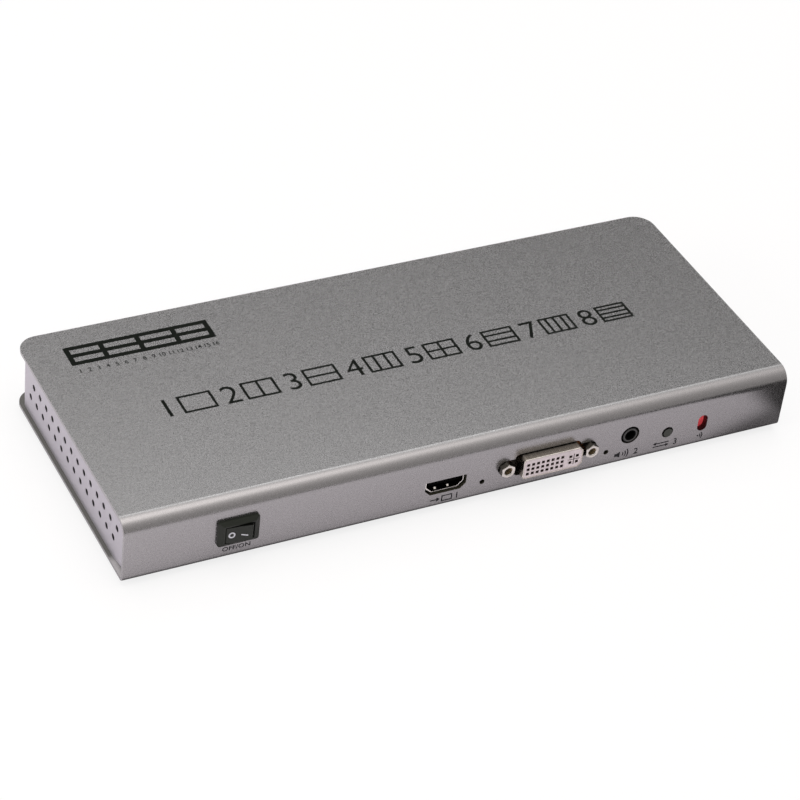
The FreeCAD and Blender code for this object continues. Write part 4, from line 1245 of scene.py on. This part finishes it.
@dataclass
class PowerSwitch:
    """The rocker switch with its frame and its two marks."""

    pivot_in: float = 1.6
    face_out: float = 2.5
    hollow: float = 2.0
    tilt: float = 6.0
    ring_place: float = -2.6
    ring_outer: float = 2.45
    ring_inner: float = 1.4
    dash_from: tuple[float, float] = (0.65, -0.35)
    dash_to: tuple[float, float] = (3.05, -1.0)
    dash_line: float = 0.42
    edge: float = 0.12
    margin: float = 0.9
    wall_normal: float = 0.25
    end_normal: float = 0.8
    cheek_normal: float = 0.9
    ink: float = 0.04

    def build(self) -> None:
        """Soften frame and rocker and print the marks on the rocker."""
        housing = softened("switch_housing", "switch_frame", self.edge, 2, SWITCH_BLACK)
        box = Extent.of("switch_rocker")
        # The walls of the recess round the rocker wear painted shade.
        two_tone(housing, BLACK_AND_SHADE, lambda place, normal: self.in_recess(box, place, normal))
        settle(housing, SWITCH_BLACK, "case", "switch_black", "switch_housing")
        rocker = softened("switch_rocker", "rocker", self.edge, 2, SWITCH_BLACK)
        # The rocker's ends and cheeks wear painted shade.
        two_tone(rocker, BLACK_AND_SHADE,
                 lambda place, normal: abs(normal.z) > self.end_normal
                 or abs(normal.x) > self.cheek_normal)
        settle(rocker, SWITCH_BLACK, "rocker", "switch_black", "switch_rocker")
        self.marks()

    def in_recess(self, rocker: Extent, place: Vector, normal: Vector) -> bool:
        """Whether a face of the frame lines the recess round the rocker.

        Args:
            rocker: The rocker's extent.
            place: Centre of the face.
            normal: Its direction.

        Returns:
            True in the recess.
        """
        across = rocker.low.x - self.margin < place.x < rocker.high.x + self.margin
        upright = rocker.low.z - self.margin < place.z < rocker.high.z + self.margin
        return across and upright and abs(normal.y) < self.wall_normal

    def marks(self) -> None:
        """The ring lies on the left face and the dash on the right one."""
        joint = next(j for j in frame["joints"] if j["name"] == "rocker_tilt")
        pivot = Vector(joint["pos_m"]) / MM
        rest = Matrix.Rotation(math.radians(-self.tilt), 3, "Z")
        valley = pivot + rest @ Vector((0, -self.pivot_in - self.face_out, 0))
        left = rest @ Matrix.Rotation(math.radians(self.hollow), 3, "Z") @ RIGHT
        right = rest @ Matrix.Rotation(math.radians(-self.hollow), 3, "Z") @ RIGHT
        ring = Stencil(valley, left, UP, self.ink)
        line = (self.ring_outer - self.ring_inner) / 2
        ring.arc((self.ring_place, 0), (self.ring_outer + self.ring_inner) / 4, line, 0, 360)
        dash = Stencil(valley, right, UP, self.ink)
        dash.stroke(self.dash_from, self.dash_to, self.dash_line)
        settle(ring.cut("off_ring"), WHITE_INK, "rocker", "switch_black")
        settle(dash.cut("on_dash"), WHITE_INK, "rocker", "switch_black")


@dataclass
class SlimSocket:
    """A slim socket with its contact strips and the spring leaves of its shell."""

    shell: str
    facing: int
    contacts: int = 10
    pitch: float = 1.0
    strip: float = 0.4
    strip_length: float = 4.4
    strip_start: float = 2.6
    tongue_lift: float = 0.35
    tongue_thickness: float = 1.1
    tongue_setback: float = 0.8
    leaf_place: float = 2.45
    leaf_width: float = 0.78
    leaf_shift: float = -0.6
    leaf_length: float = 4.2
    leaf_rise: float = 0.5
    leaf_sheet: float = 0.12
    wall: float = 0.3
    half_height: float = 2.6
    rim_depth: float = 0.17
    edge: float = 0.13
    strip_sheet: float = 0.1

    def build(self, grid: BlockGrid) -> None:
        """Dress the shell and add contacts and leaves.

        Args:
            grid: The tree that repeats the contact strips.
        """
        # The rim of the shell wears painted highlight.
        shell = softened(self.shell, self.shell + "_drawn", self.edge, 3, RIM_HIGHLIGHT)
        box = Extent.of(self.shell)
        rim = box.mouth(self.facing)
        # Behind the rim, the inside of the shell wears painted shade.
        two_tone(shell, INNER_NICKEL_SHADE, lambda place, normal: abs(place.y - rim) > self.rim_depth)
        settle(shell, NICKEL_SHELL, "case", "nickel_shell", self.shell)
        centre = Vector((box.middle.x, rim, box.high.z - self.half_height))
        inward = -self.facing
        y = centre.y + inward * (self.tongue_setback + self.strip_start + self.strip_length / 2)
        strip = spot(self.strip, self.strip_length, self.strip_sheet)
        for side, label in ((-1, "contacts_low"), (1, "contacts_high")):
            z = centre.z + self.tongue_lift + side * self.tongue_thickness / 2
            piece = grid.lay(self.shell.replace("shell", label), (self.contacts - (side < 0), 1),
                             (self.pitch, 1.0), strip, spot(centre.x, y, z))
            settle(piece, CONTACT_GOLD, "case", "plated_brass")
        self.leaves(centre, inward)

    def leaves(self, centre: Vector, inward: int) -> None:
        """Two leaves on the floor and two under the roof of the shell.

        Args:
            centre: Middle of the mouth, in millimetres.
            inward: Direction along Y into the socket.
        """
        shape = bmesh.new()
        half = self.leaf_width / 2
        outline = [(0.75, 0.0), (1.05, 0.34), (1.25, self.leaf_rise), (1.5, self.leaf_rise),
                   (2.2, 0.24), (0.75 + self.leaf_length, 0.0)]
        for side in (-1, 1):
            base = centre.z + side * (self.half_height - self.wall)
            for place in (-self.leaf_place, self.leaf_place):
                rows = []
                for depth, rise in outline:
                    y = centre.y + inward * depth
                    x = centre.x + self.leaf_shift + place
                    rows.append([shape.verts.new(spot(x + dx, y, base - side * (rise + dz)))
                                 for dx, dz in ((-half, 0.0), (half, 0.0), (half, self.leaf_sheet),
                                                (-half, self.leaf_sheet))])
                for a, b in zip(rows, rows[1:]):
                    for i in range(4):
                        j = (i + 1) % 4
                        shape.faces.new((a[i], a[j], b[j], b[i]))
                shape.faces.new(rows[0])
                shape.faces.new(list(reversed(rows[-1])))
        piece = mesh_piece(self.shell.replace("shell", "leaves"), shape)
        # The leaves wear painted highlight.
        settle(piece, NICKEL_HIGHLIGHT, "case", "nickel_screw")


@dataclass
class PinSocket:
    """A screwed-down socket: a drawn shell with its flange, and threaded jack screws."""

    name: str
    facing: int
    screw_spacing: float
    thread_radius: float = 1.42
    thread_depth: float = 4.0
    mouth: float = 0.3
    screw_turns: float = 6.0
    drawn: Finish = NICKEL_SHELL
    left_flange: Finish = NICKEL_SHELL
    right_flange: Finish = NICKEL_SHELL
    flange_from: float = 4.5
    rounding: float = 0.38
    shell_edge: float = 0.05
    screw_edge: float = 0.1
    ridge: float = 0.16
    thread_start: float = 0.1
    thread_end: float = 0.6
    rim_normal: tuple[float, float] = (0.05, 0.98)
    flat_normal: float = 0.4

    def build(self, thread: Thread) -> None:
        """Dress shell and screws and cut the threads.

        Args:
            thread: The tree that sweeps a thread.
        """
        rim = Extent.of(self.name + "_shell")
        front = rim.mouth(self.facing)
        shell = softened(self.name + "_shell", self.name + "_shell_drawn", self.shell_edge, 1,
                         self.drawn, self.rounding, lambda edge: self.outside_rim(rim, front, edge))
        for side, finish in ((-1, self.left_flange), (1, self.right_flange)):
            two_tone(shell, finish, lambda place, normal, side=side:
                     abs(place.y - front) > self.flange_from
                     and (place.x - rim.middle.x) * side > 0)
        # The rounded rim of the mouth wears painted highlight.
        two_tone(shell, NICKEL_HIGHLIGHT, lambda place, normal: abs(place.y - front) < self.rounding
                 and self.rim_normal[0] < abs(normal.y) < self.rim_normal[1])
        settle(shell, self.drawn, "case", "nickel_shell", self.name + "_shell")
        screws = softened(self.name + "_screws", self.name + "_hex_screws", self.screw_edge, 2,
                          NICKEL_SCREW)
        two_tone(screws, SHADED_NICKEL, lambda place, normal: abs(normal.y) < self.flat_normal)
        settle(screws, NICKEL_SCREW, "case", "nickel_screw", self.name + "_screws")
        box = Extent.of(self.name + "_screws")
        start = box.mouth(self.facing) - self.facing * (self.mouth + self.thread_start)
        for side, label in ((-1, "left"), (1, "right")):
            x = box.middle.x + side * self.screw_spacing / 2
            values = {"Turns": self.screw_turns, "Radius": self.thread_radius * MM,
                      "Length": (self.thread_depth - self.thread_end) * MM,
                      "Ridge": self.ridge * MM, "Place": spot(x, start, box.middle.z),
                      "Turn": Vector((math.radians(90 * self.facing), 0, 0))}
            piece = thread.run("%s_thread_%s" % (self.name, label), values)
            settle(piece, NICKEL_SCREW, "case", "nickel_screw")

    @staticmethod
    def outside_rim(box: Extent, front: float, edge: bmesh.types.BMEdge) -> bool:
        """Whether an edge runs round the outside of the shell's mouth.

        Args:
            box: The shell's extent.
            front: Place of the mouth along Y.
            edge: The edge.

        Returns:
            True for the outer edge of the rim.
        """
        if any(abs(vert.co.y / MM - front) > 0.01 for vert in edge.verts) or len(edge.link_faces) != 2:
            return False
        middle = (edge.verts[0].co + edge.verts[1].co) / 2 / MM - box.middle
        side = min(edge.link_faces, key=lambda face: abs(face.normal.y))
        return abs(side.normal.y) < 0.1 and side.normal.dot(Vector((middle.x, 0, middle.z))) > 0


@dataclass
class WideContacts:
    """Spring sleeves deep in the holes of the wide front socket."""

    columns: int = 8
    rows: int = 3
    pitch: float = 1.93
    first_x: float = -9.4
    drop: float = 0.4
    cross_x: float = 8.7
    cross_pitch: float = 2.62
    hole: float = 1.25
    setback: float = 2.2
    length: float = 2.4
    blade: tuple[float, float] = (0.22, 0.8)
    inset: float = 0.08

    def build(self, grid: BlockGrid) -> None:
        """Two blades in each hole, left and right, and the same round the cross.

        Args:
            grid: The tree that repeats the blades.
        """
        shell = Extent.of("pin_input_shell")
        y = shell.low.y + self.setback + self.length / 2
        middle_x = shell.middle.x + self.first_x + self.pitch * (self.columns - 1) / 2
        z = shell.middle.z - self.drop
        groups = [("pins", self.columns, self.rows, self.pitch, middle_x),
                  ("ring", 2, 2, self.cross_pitch, shell.middle.x + self.cross_x)]
        for label, columns, rows, pitch, x in groups:
            for side, end in ((-1, "left"), (1, "right")):
                place = spot(x + side * (self.hole / 2 - self.inset), y, z)
                piece = grid.lay("wide_%s_%s" % (label, end), (columns, rows), (pitch, pitch),
                                 spot(*self.blade, self.length), place,
                                 Vector((math.radians(90), 0, 0)))
                settle(piece, CONTACT_GOLD, "case", "plated_brass")


@dataclass
class AudioJack:
    """The ring on the jack's nose, a black sleeve of painted shade in its mouth and the contact ring in
    its bore.
    """

    nose: float = 2.8
    mouth: float = 2.15
    bore: float = 1.8
    ring: float = 0.16
    body_top: float = 4.6
    sleeve: tuple[tuple[float, float], ...] = ((1.78, -8.5), (1.83, -8.5), (1.83, -4.4), (1.78, -4.4),
                                               (1.68, -4.7), (1.68, -8.2))

    def build(self) -> None:
        """Turn the nose ring, the painted shade in the mouth and the inner contact."""
        wrap = Extent.of("wrap_shell")
        body = Extent.of("audio_jack_body")
        centre = Vector((body.middle.x, wrap.low.y, body.high.z - self.body_top))
        rim = [(self.mouth, -0.05), (self.nose, -0.05), (self.nose, 0.06), (self.nose - 0.1, self.ring),
               (self.mouth + 0.1, self.ring), (self.mouth, self.ring - 0.08)]
        settle(mesh_piece("audio_nose_ring", lathe(rim, centre, -BACK)), NOSE_GREY, "case",
               "socket_black")
        # A thin black sleeve of painted shade lines the bore and the mouth.
        top = self.ring - 0.03
        bore_shade = [(self.bore - 0.04, -4.2), (self.bore, -4.2), (self.bore, 0.02),
                 (self.mouth - 0.02, 0.02), (self.mouth - 0.02, -0.04),
                 (self.mouth + 0.02, -0.04), (self.mouth + 0.02, top),
                 (self.mouth - 0.06, top), (self.mouth - 0.06, 0.06), (self.bore - 0.04, 0.06)]
        settle(mesh_piece("audio_bore_shade", lathe(bore_shade, centre, -BACK)), BLACK_AND_SHADE, "case",
               "socket_black")
        settle(mesh_piece("audio_sleeve", lathe(list(self.sleeve), centre, -BACK)), BRIGHT_STEEL,
               "case", "bright_steel")


@dataclass
class SmallControls:
    """Push button, remote window and indicator lamps."""

    cap_edge: float = 0.4
    cap_face: float = 0.93
    window_edge: float = 0.1
    lamp_edge: float = 0.2
    margin: float = 0.3
    seat: float = 0.05

    def build(self) -> None:
        """Soften the button's cap and polish the window and the lamps."""
        button = softened("select_button", "push_button", self.cap_edge, 4, BUTTON_GREY)
        # The sides of the cap wear painted shade.
        two_tone(button, BLACK_AND_SHADE, lambda place, normal: abs(normal.y) < self.cap_face)
        settle(button, BUTTON_GREY, "button", "button_grey", "select_button")
        window = softened("remote_window", "red_window", self.window_edge, 2, RED_WINDOW)
        settle(window, RED_WINDOW, "case", "window_red", "remote_window")
        holder = softened("remote_holder", "window_holder", self.window_edge, 1, SOCKET_BLACK)
        slot = Extent.of("remote_window")
        # In front of the window the black holder wears painted shade tinted by painted red light.
        two_tone(holder, HOLDER_RED_SHADE, lambda place, normal: self.before_window(slot, place))
        settle(holder, SOCKET_BLACK, "case", "socket_black", "remote_holder")
        lamps = softened("indicator_lamps", "lamps", self.lamp_edge, 3, CLEAR_LAMP)
        settle(lamps, CLEAR_LAMP, "case", "lamp_clear", "indicator_lamps")

    def before_window(self, slot: Extent, place: Vector) -> bool:
        """Whether a place on the holder lies in front of the window or just beside it."""
        across = slot.low.x - self.margin < place.x < slot.high.x + self.margin
        upright = slot.low.z - self.margin < place.z < slot.high.z + self.margin
        return across and upright and place.y < slot.low.y + self.seat


@dataclass
class Underside:
    """Feet and the screws in the floor."""

    foot_edge: float = 0.35
    screw_edge: float = 0.06

    def build(self) -> None:
        """Soften the feet and the screw heads."""
        feet = softened("rubber_feet", "feet", self.foot_edge, 3, FOOT_RUBBER)
        settle(feet, FOOT_RUBBER, "case", "foot_rubber", "rubber_feet")
        screws = softened("case_screws", "floor_screws", self.screw_edge, 1, BLACK_SCREW)
        settle(screws, BLACK_SCREW, "case", "black_screw", "case_screws")


@dataclass
class BoardDetails:
    """Legs of the chips and small parts on the circuit board."""

    leg: tuple[float, float, float] = (1.5, 0.25, 0.5)
    leg_pitch: float = 0.8
    leg_count: int = 13
    leg_out: float = 0.9
    chip_size: float = 12.0
    chip_pitch: float = 32.0
    small_field: tuple[float, float] = (60.0, 12.0)
    small_count: tuple[int, int] = (22, 5)
    small_part: tuple[float, float, float] = (1.6, 0.8, 0.6)
    small_place: tuple[float, float] = (-40.0, -12.0)
    small_share: float = 0.45
    seed: int = 7

    def build(self, legs: BlockGrid, parts: SmallParts) -> None:
        """Add the chips' legs and strew small parts.

        Args:
            legs: The tree that repeats the legs.
            parts: The tree that strews small parts.
        """
        board = Extent.of("circuit_board")
        chips = Extent.of("support_chips")
        z = board.high.z + self.leg[2] / 2
        last = chips.high.x - self.chip_size / 2
        front_row = chips.low.y + self.chip_size / 2
        leg = spot(self.leg[1], self.leg[0], self.leg[2])
        for i, x in enumerate((last, last - self.chip_pitch)):
            for turn in (0, 1):
                piece = legs.lay("chip_legs_%d_%d" % (i, turn), (self.leg_count, 2),
                                 (self.leg_pitch, self.chip_size + self.leg_out), leg,
                                 spot(x, front_row, z), Vector((0, 0, math.radians(90 * turn))))
                settle(piece, BRIGHT_STEEL, "case", "bright_steel")
        rise = board.high.z + self.small_part[2] / 2
        values = {"Columns": self.small_count[0], "Rows": self.small_count[1],
                  "Width": self.small_field[0] * MM, "Depth": self.small_field[1] * MM,
                  "Share": self.small_share, "Seed": self.seed, "Block": spot(*self.small_part),
                  "Place": spot(*self.small_place, rise), "Turn": NO_TURN}
        settle(parts.run("small_parts", values), PLUG_WHITE, "case", "plug_white")


CARRIED: dict[str, Finish] = {
    "board_standoffs": PLATED_BRASS,
    "board_screws": BRIGHT_STEEL,
    "circuit_board": BOARD_GREEN,
    "switch_plunger": BRIGHT_STEEL,
    "switch_contact": PLATED_BRASS,
    "switch_terminals": PLATED_BRASS,
    "switch_wires": WIRE_COVER,
    "switch_plug": PLUG_WHITE,
    "board_header": PLUG_WHITE,
    # black plastic, darkened further as painted shade
    "slim_input_tongue": BLACK_AND_SHADE,
    "pin_input_insert": INSERT_WHITE,
    "audio_jack_body": SOCKET_BLACK,
    "audio_jack_pins": BRIGHT_STEEL,
    "select_switch_body": SOCKET_BLACK,
    "select_dome": BRIGHT_STEEL,
    "remote_receiver": SOCKET_BLACK,
    "power_jack_body": SOCKET_BLACK,
    "power_jack_pin": NICKEL_SCREW,
    "main_chip": CHIP_BLACK,
    "thermal_pad": PAD_RUBBER,
    "heat_sink": SINK_METAL,
    "memory_chips": CHIP_BLACK,
    "transmitter_chips": CHIP_BLACK,
    "support_chips": CHIP_BLACK,
    "capacitors": CAN_METAL,
    "inductors": COIL_GREY,
    "crystals": BRIGHT_STEEL,
    "control_port_insert": SOCKET_BLACK,
    **{"output_%d_tongue" % number: SOCKET_BLACK for number in range(1, 5)},
}


def dress_carried() -> None:
    """Give each frame node that stays its finish."""
    for node, finish in CARRIED.items():
        materials = frame["nodes"][node].data.materials
        materials.clear()
        materials.append(finish.build())


# Studio


@dataclass
class Studio:
    """Pale floor, one soft lamp, surroundings and the camera."""

    lens: float = 124.34
    place: tuple[float, float, float] = (-0.39348805, -0.67595198, 0.61022853)
    turn: tuple[float, float, float] = (52.19619869, -5.4791162, -25.85273637)
    # To light and reflections the paper is lighter on the left than on the right: painted light from the
    # left.
    paper_left: Colour = (0.97, 0.95, 1.0)
    paper_right: Colour = (0.84, 0.82, 0.87)
    # Painted shadow to the right of the case, seen by reflections alone.
    right_shadow_start: float = 0.128
    right_shadow_fade: float = 0.008
    shade_start: float = -0.0565
    shade_fade: float = 0.0055
    shade_depth: float = 0.8
    shade_slant: float = 0.27
    slant_start: float = 0.095
    sky_lean: tuple[float, float] = (0.2, 0.8)
    sky_behind: tuple[tuple[float, float], ...] = (
        (-1.0, 0.5), (-0.25, 0.35), (-0.15, 0.02), (0.01, 0.02), (0.04, 0.5), (0.065, 2.9),
        (0.12, 2.9), (0.33, 1.2), (1.0, 1.0))
    sky_ahead: tuple[tuple[float, float], ...] = (
        (0.0, 0.46), (0.3, 0.46), (0.5, 0.54), (0.68, 0.66), (0.8, 0.86), (0.88, 1.2), (0.95, 2.45))
    warmth: Colour = (1.0, 0.95, 0.935)
    sky_strength: float = 4.0
    floor_size: float = 12.0
    paper_glow: float = 0.8
    paper_span: tuple[float, float] = (-0.14, 0.12)
    lamp_place: tuple[float, float, float] = (-1.3, -0.1, 0.55)
    lamp_size: tuple[float, float] = (0.8, 0.6)
    lamp_power: float = 5.5
    cap_span: tuple[float, float, float, float] = (0.02, 0.22, 0.91, 1.0)
    dim_span: tuple[float, float, float, float] = (0.41, 0.6, 1.0, 0.5)
    behind_gate: tuple[float, float] = (0.15, 0.45)
    low_gate: tuple[float, float] = (0.9, 0.78)
    right_gate: tuple[float, float] = (-0.05, 0.2)
    floor_grey: Colour = (0.2, 0.2, 0.2)
    shade_grey: Colour = (0.02, 0.02, 0.02)

    def build(self) -> None:
        """Set up everything that isn't the object."""
        self.camera()
        self.floor()
        self.surroundings()
        self.lamp()
        bpy.context.scene.view_settings.view_transform = "Standard"

    def camera(self) -> None:
        """The camera of the picture."""
        data = bpy.data.cameras.new("camera")
        data.lens = self.lens
        data.sensor_width = 36.0
        data.clip_start = 0.01
        camera = bpy.data.objects.new("camera", data)
        camera.location = self.place
        camera.rotation_euler = [math.radians(angle) for angle in self.turn]
        bpy.context.scene.collection.objects.link(camera)
        bpy.context.scene.camera = camera

    def floor(self) -> None:
        """A wide plane under the feet that looks white to the camera and keeps the shadow.

        Reflections alone see painted shade on it close to the front of the case, and a painted shadow to
        the right of it.
        """
        shape = bmesh.new()
        bmesh.ops.create_grid(shape, x_segments=1, y_segments=1, size=self.floor_size)
        floor = mesh_piece("floor", shape)
        material = bpy.data.materials.new("floor_paper")
        material.use_nodes = True
        graph = Graph(material.node_tree)
        axes = graph.axes(graph.add("ShaderNodeTexCoord").outputs["Object"])
        # The paper is lighter on the left than on the right: painted light.
        across = graph.span(axes["X"], *self.paper_span)
        sheet = graph.ramp(across, [(0.0, self.paper_left), (1.0, self.paper_right)])
        paper = graph.add("ShaderNodeBsdfDiffuse", {"Color": sheet}).outputs[0]
        glow = graph.add("ShaderNodeEmission", {"Color": (1, 1, 1, 1),
                                                "Strength": self.paper_glow}).outputs[0]
        dim = graph.add("ShaderNodeBsdfDiffuse", {"Color": (*self.floor_grey, 1.0)}).outputs[0]
        white = graph.add("ShaderNodeAddShader", {0: dim, 1: glow}).outputs[0]
        path = graph.add("ShaderNodeLightPath").outputs
        seen = graph.add("ShaderNodeMixShader", {0: path["Is Camera Ray"], 1: paper,
                                                 2: white}).outputs[0]
        # Painted shadow to the right and painted shade along the front, for reflections alone.
        right_shadow = graph.span(axes["X"], self.right_shadow_start, self.right_shadow_start + self.right_shadow_fade)
        right = graph.math("MAXIMUM", graph.math("SUBTRACT", axes["X"], self.slant_start), 0.0)
        slanted = graph.math("ADD", axes["Y"], graph.math("MULTIPLY", right, self.shade_slant))
        near = graph.span(slanted, self.shade_start, self.shade_start + self.shade_fade)
        within = graph.math("GREATER_THAN", axes["X"], CAD_BOX[0][0])
        ahead = graph.math("LESS_THAN", axes["Y"], CAD_BOX[1][1])
        shade = graph.math("MULTIPLY", near, graph.math("MULTIPLY", within, ahead))
        shade = graph.math("MULTIPLY", shade, self.shade_depth)
        hidden = graph.math("MULTIPLY", graph.math("MAXIMUM", right_shadow, shade), path["Is Glossy Ray"])
        dark = graph.add("ShaderNodeBsdfDiffuse", {"Color": (*self.shade_grey, 1.0)}).outputs[0]
        mixed = graph.add("ShaderNodeMixShader", {0: hidden, 1: seen, 2: dark}).outputs[0]
        graph.add("ShaderNodeOutputMaterial", {"Surface": mixed})
        floor.data.materials.append(material)

    def surroundings(self) -> None:
        """White to the camera, and to the rest a sky whose light differs by direction."""
        world = bpy.data.worlds.new("studio")
        world.use_nodes = True
        bpy.context.scene.world = world
        graph = Graph(world.node_tree)
        way = graph.add("ShaderNodeTexCoord").outputs["Generated"]
        parts = graph.axes(way)
        lean = graph.math("ADD", graph.math("MULTIPLY", parts["X"], self.sky_lean[0]),
                          graph.math("MULTIPLY", parts["Y"], self.sky_lean[1]))
        level = graph.span(graph.math("SUBTRACT", parts["Z"], lean), -1.0, 1.0)
        behind = graph.ramp(level, [((place + 1) / 2, (light / self.sky_strength,) * 3)
                                    for place, light in self.sky_behind])
        over = graph.span(parts["X"], *self.cap_span)
        height = graph.math("MINIMUM", parts["Z"], over)
        ahead = graph.ramp(height, [(place, scaled(self.warmth, light / self.sky_strength))
                                    for place, light in self.sky_ahead])
        side = graph.span(parts["Y"], *self.behind_gate)
        low = graph.span(parts["Z"], *self.low_gate)
        dim = graph.span(parts["X"], *self.dim_span)
        grey = graph.add("ShaderNodeCombineXYZ", {0: dim, 1: dim, 2: dim}).outputs[0]
        behind = graph.blend(1.0, behind, grey, "MULTIPLY")
        right = graph.span(parts["X"], *self.right_gate)
        side = graph.math("MULTIPLY", side, graph.math("MULTIPLY", low, right))
        soft = graph.blend(side, ahead, behind)
        path = graph.add("ShaderNodeLightPath").outputs
        lit = graph.add("ShaderNodeBackground", {"Color": soft,
                                                 "Strength": self.sky_strength}).outputs[0]
        white = graph.add("ShaderNodeBackground", {"Color": (1, 1, 1, 1), "Strength": 1.0}).outputs[0]
        mixed = graph.add("ShaderNodeMixShader", {0: path["Is Camera Ray"], 1: lit,
                                                  2: white}).outputs[0]
        graph.add("ShaderNodeOutputWorld", {"Surface": mixed})

    def lamp(self) -> None:
        """A soft rectangular lamp on the left, aimed at the frame's origin, not seen in reflections."""
        data = bpy.data.lights.new("left", "AREA")
        data.shape = "RECTANGLE"
        data.size, data.size_y = self.lamp_size
        data.energy = self.lamp_power
        lamp = bpy.data.objects.new("left", data)
        lamp.visible_glossy = False
        lamp.location = self.lamp_place
        lamp.rotation_euler = (-Vector(self.lamp_place)).to_track_quat("-Z", "Y").to_euler()
        bpy.context.scene.collection.objects.link(lamp)


def main() -> None:
    """Build the studio, then the object's sub-assemblies in order."""
    logging.basicConfig(level=logging.INFO, format="%(name)s %(message)s")
    Studio().build()
    dress_carried()
    Sheetwork().build()
    TopPrint().build()
    FrontPrint().build()
    PowerSwitch().build()
    gold_grid = BlockGrid(CONTACT_GOLD)
    steel_grid = BlockGrid(BRIGHT_STEEL)
    thread = Thread(THREAD_BRASS)
    SlimSocket("slim_input_shell", -1).build(gold_grid)
    for number in range(1, 5):
        SlimSocket("output_%d_shell" % number, 1).build(gold_grid)
    PinSocket("pin_input", -1, 33.3, drawn=SHADED_DRAWN_SHELL, left_flange=FLANGE_SHADE,
              right_flange=FLANGE_BRONZE).build(thread)
    PinSocket("control_port", 1, 25.0).build(thread)
    WideContacts().build(gold_grid)
    AudioJack().build()
    SmallControls().build()
    Underside().build()
    BoardDetails().build(steel_grid, SmallParts(PLUG_WHITE))


if __name__ == "__main__":
    main()
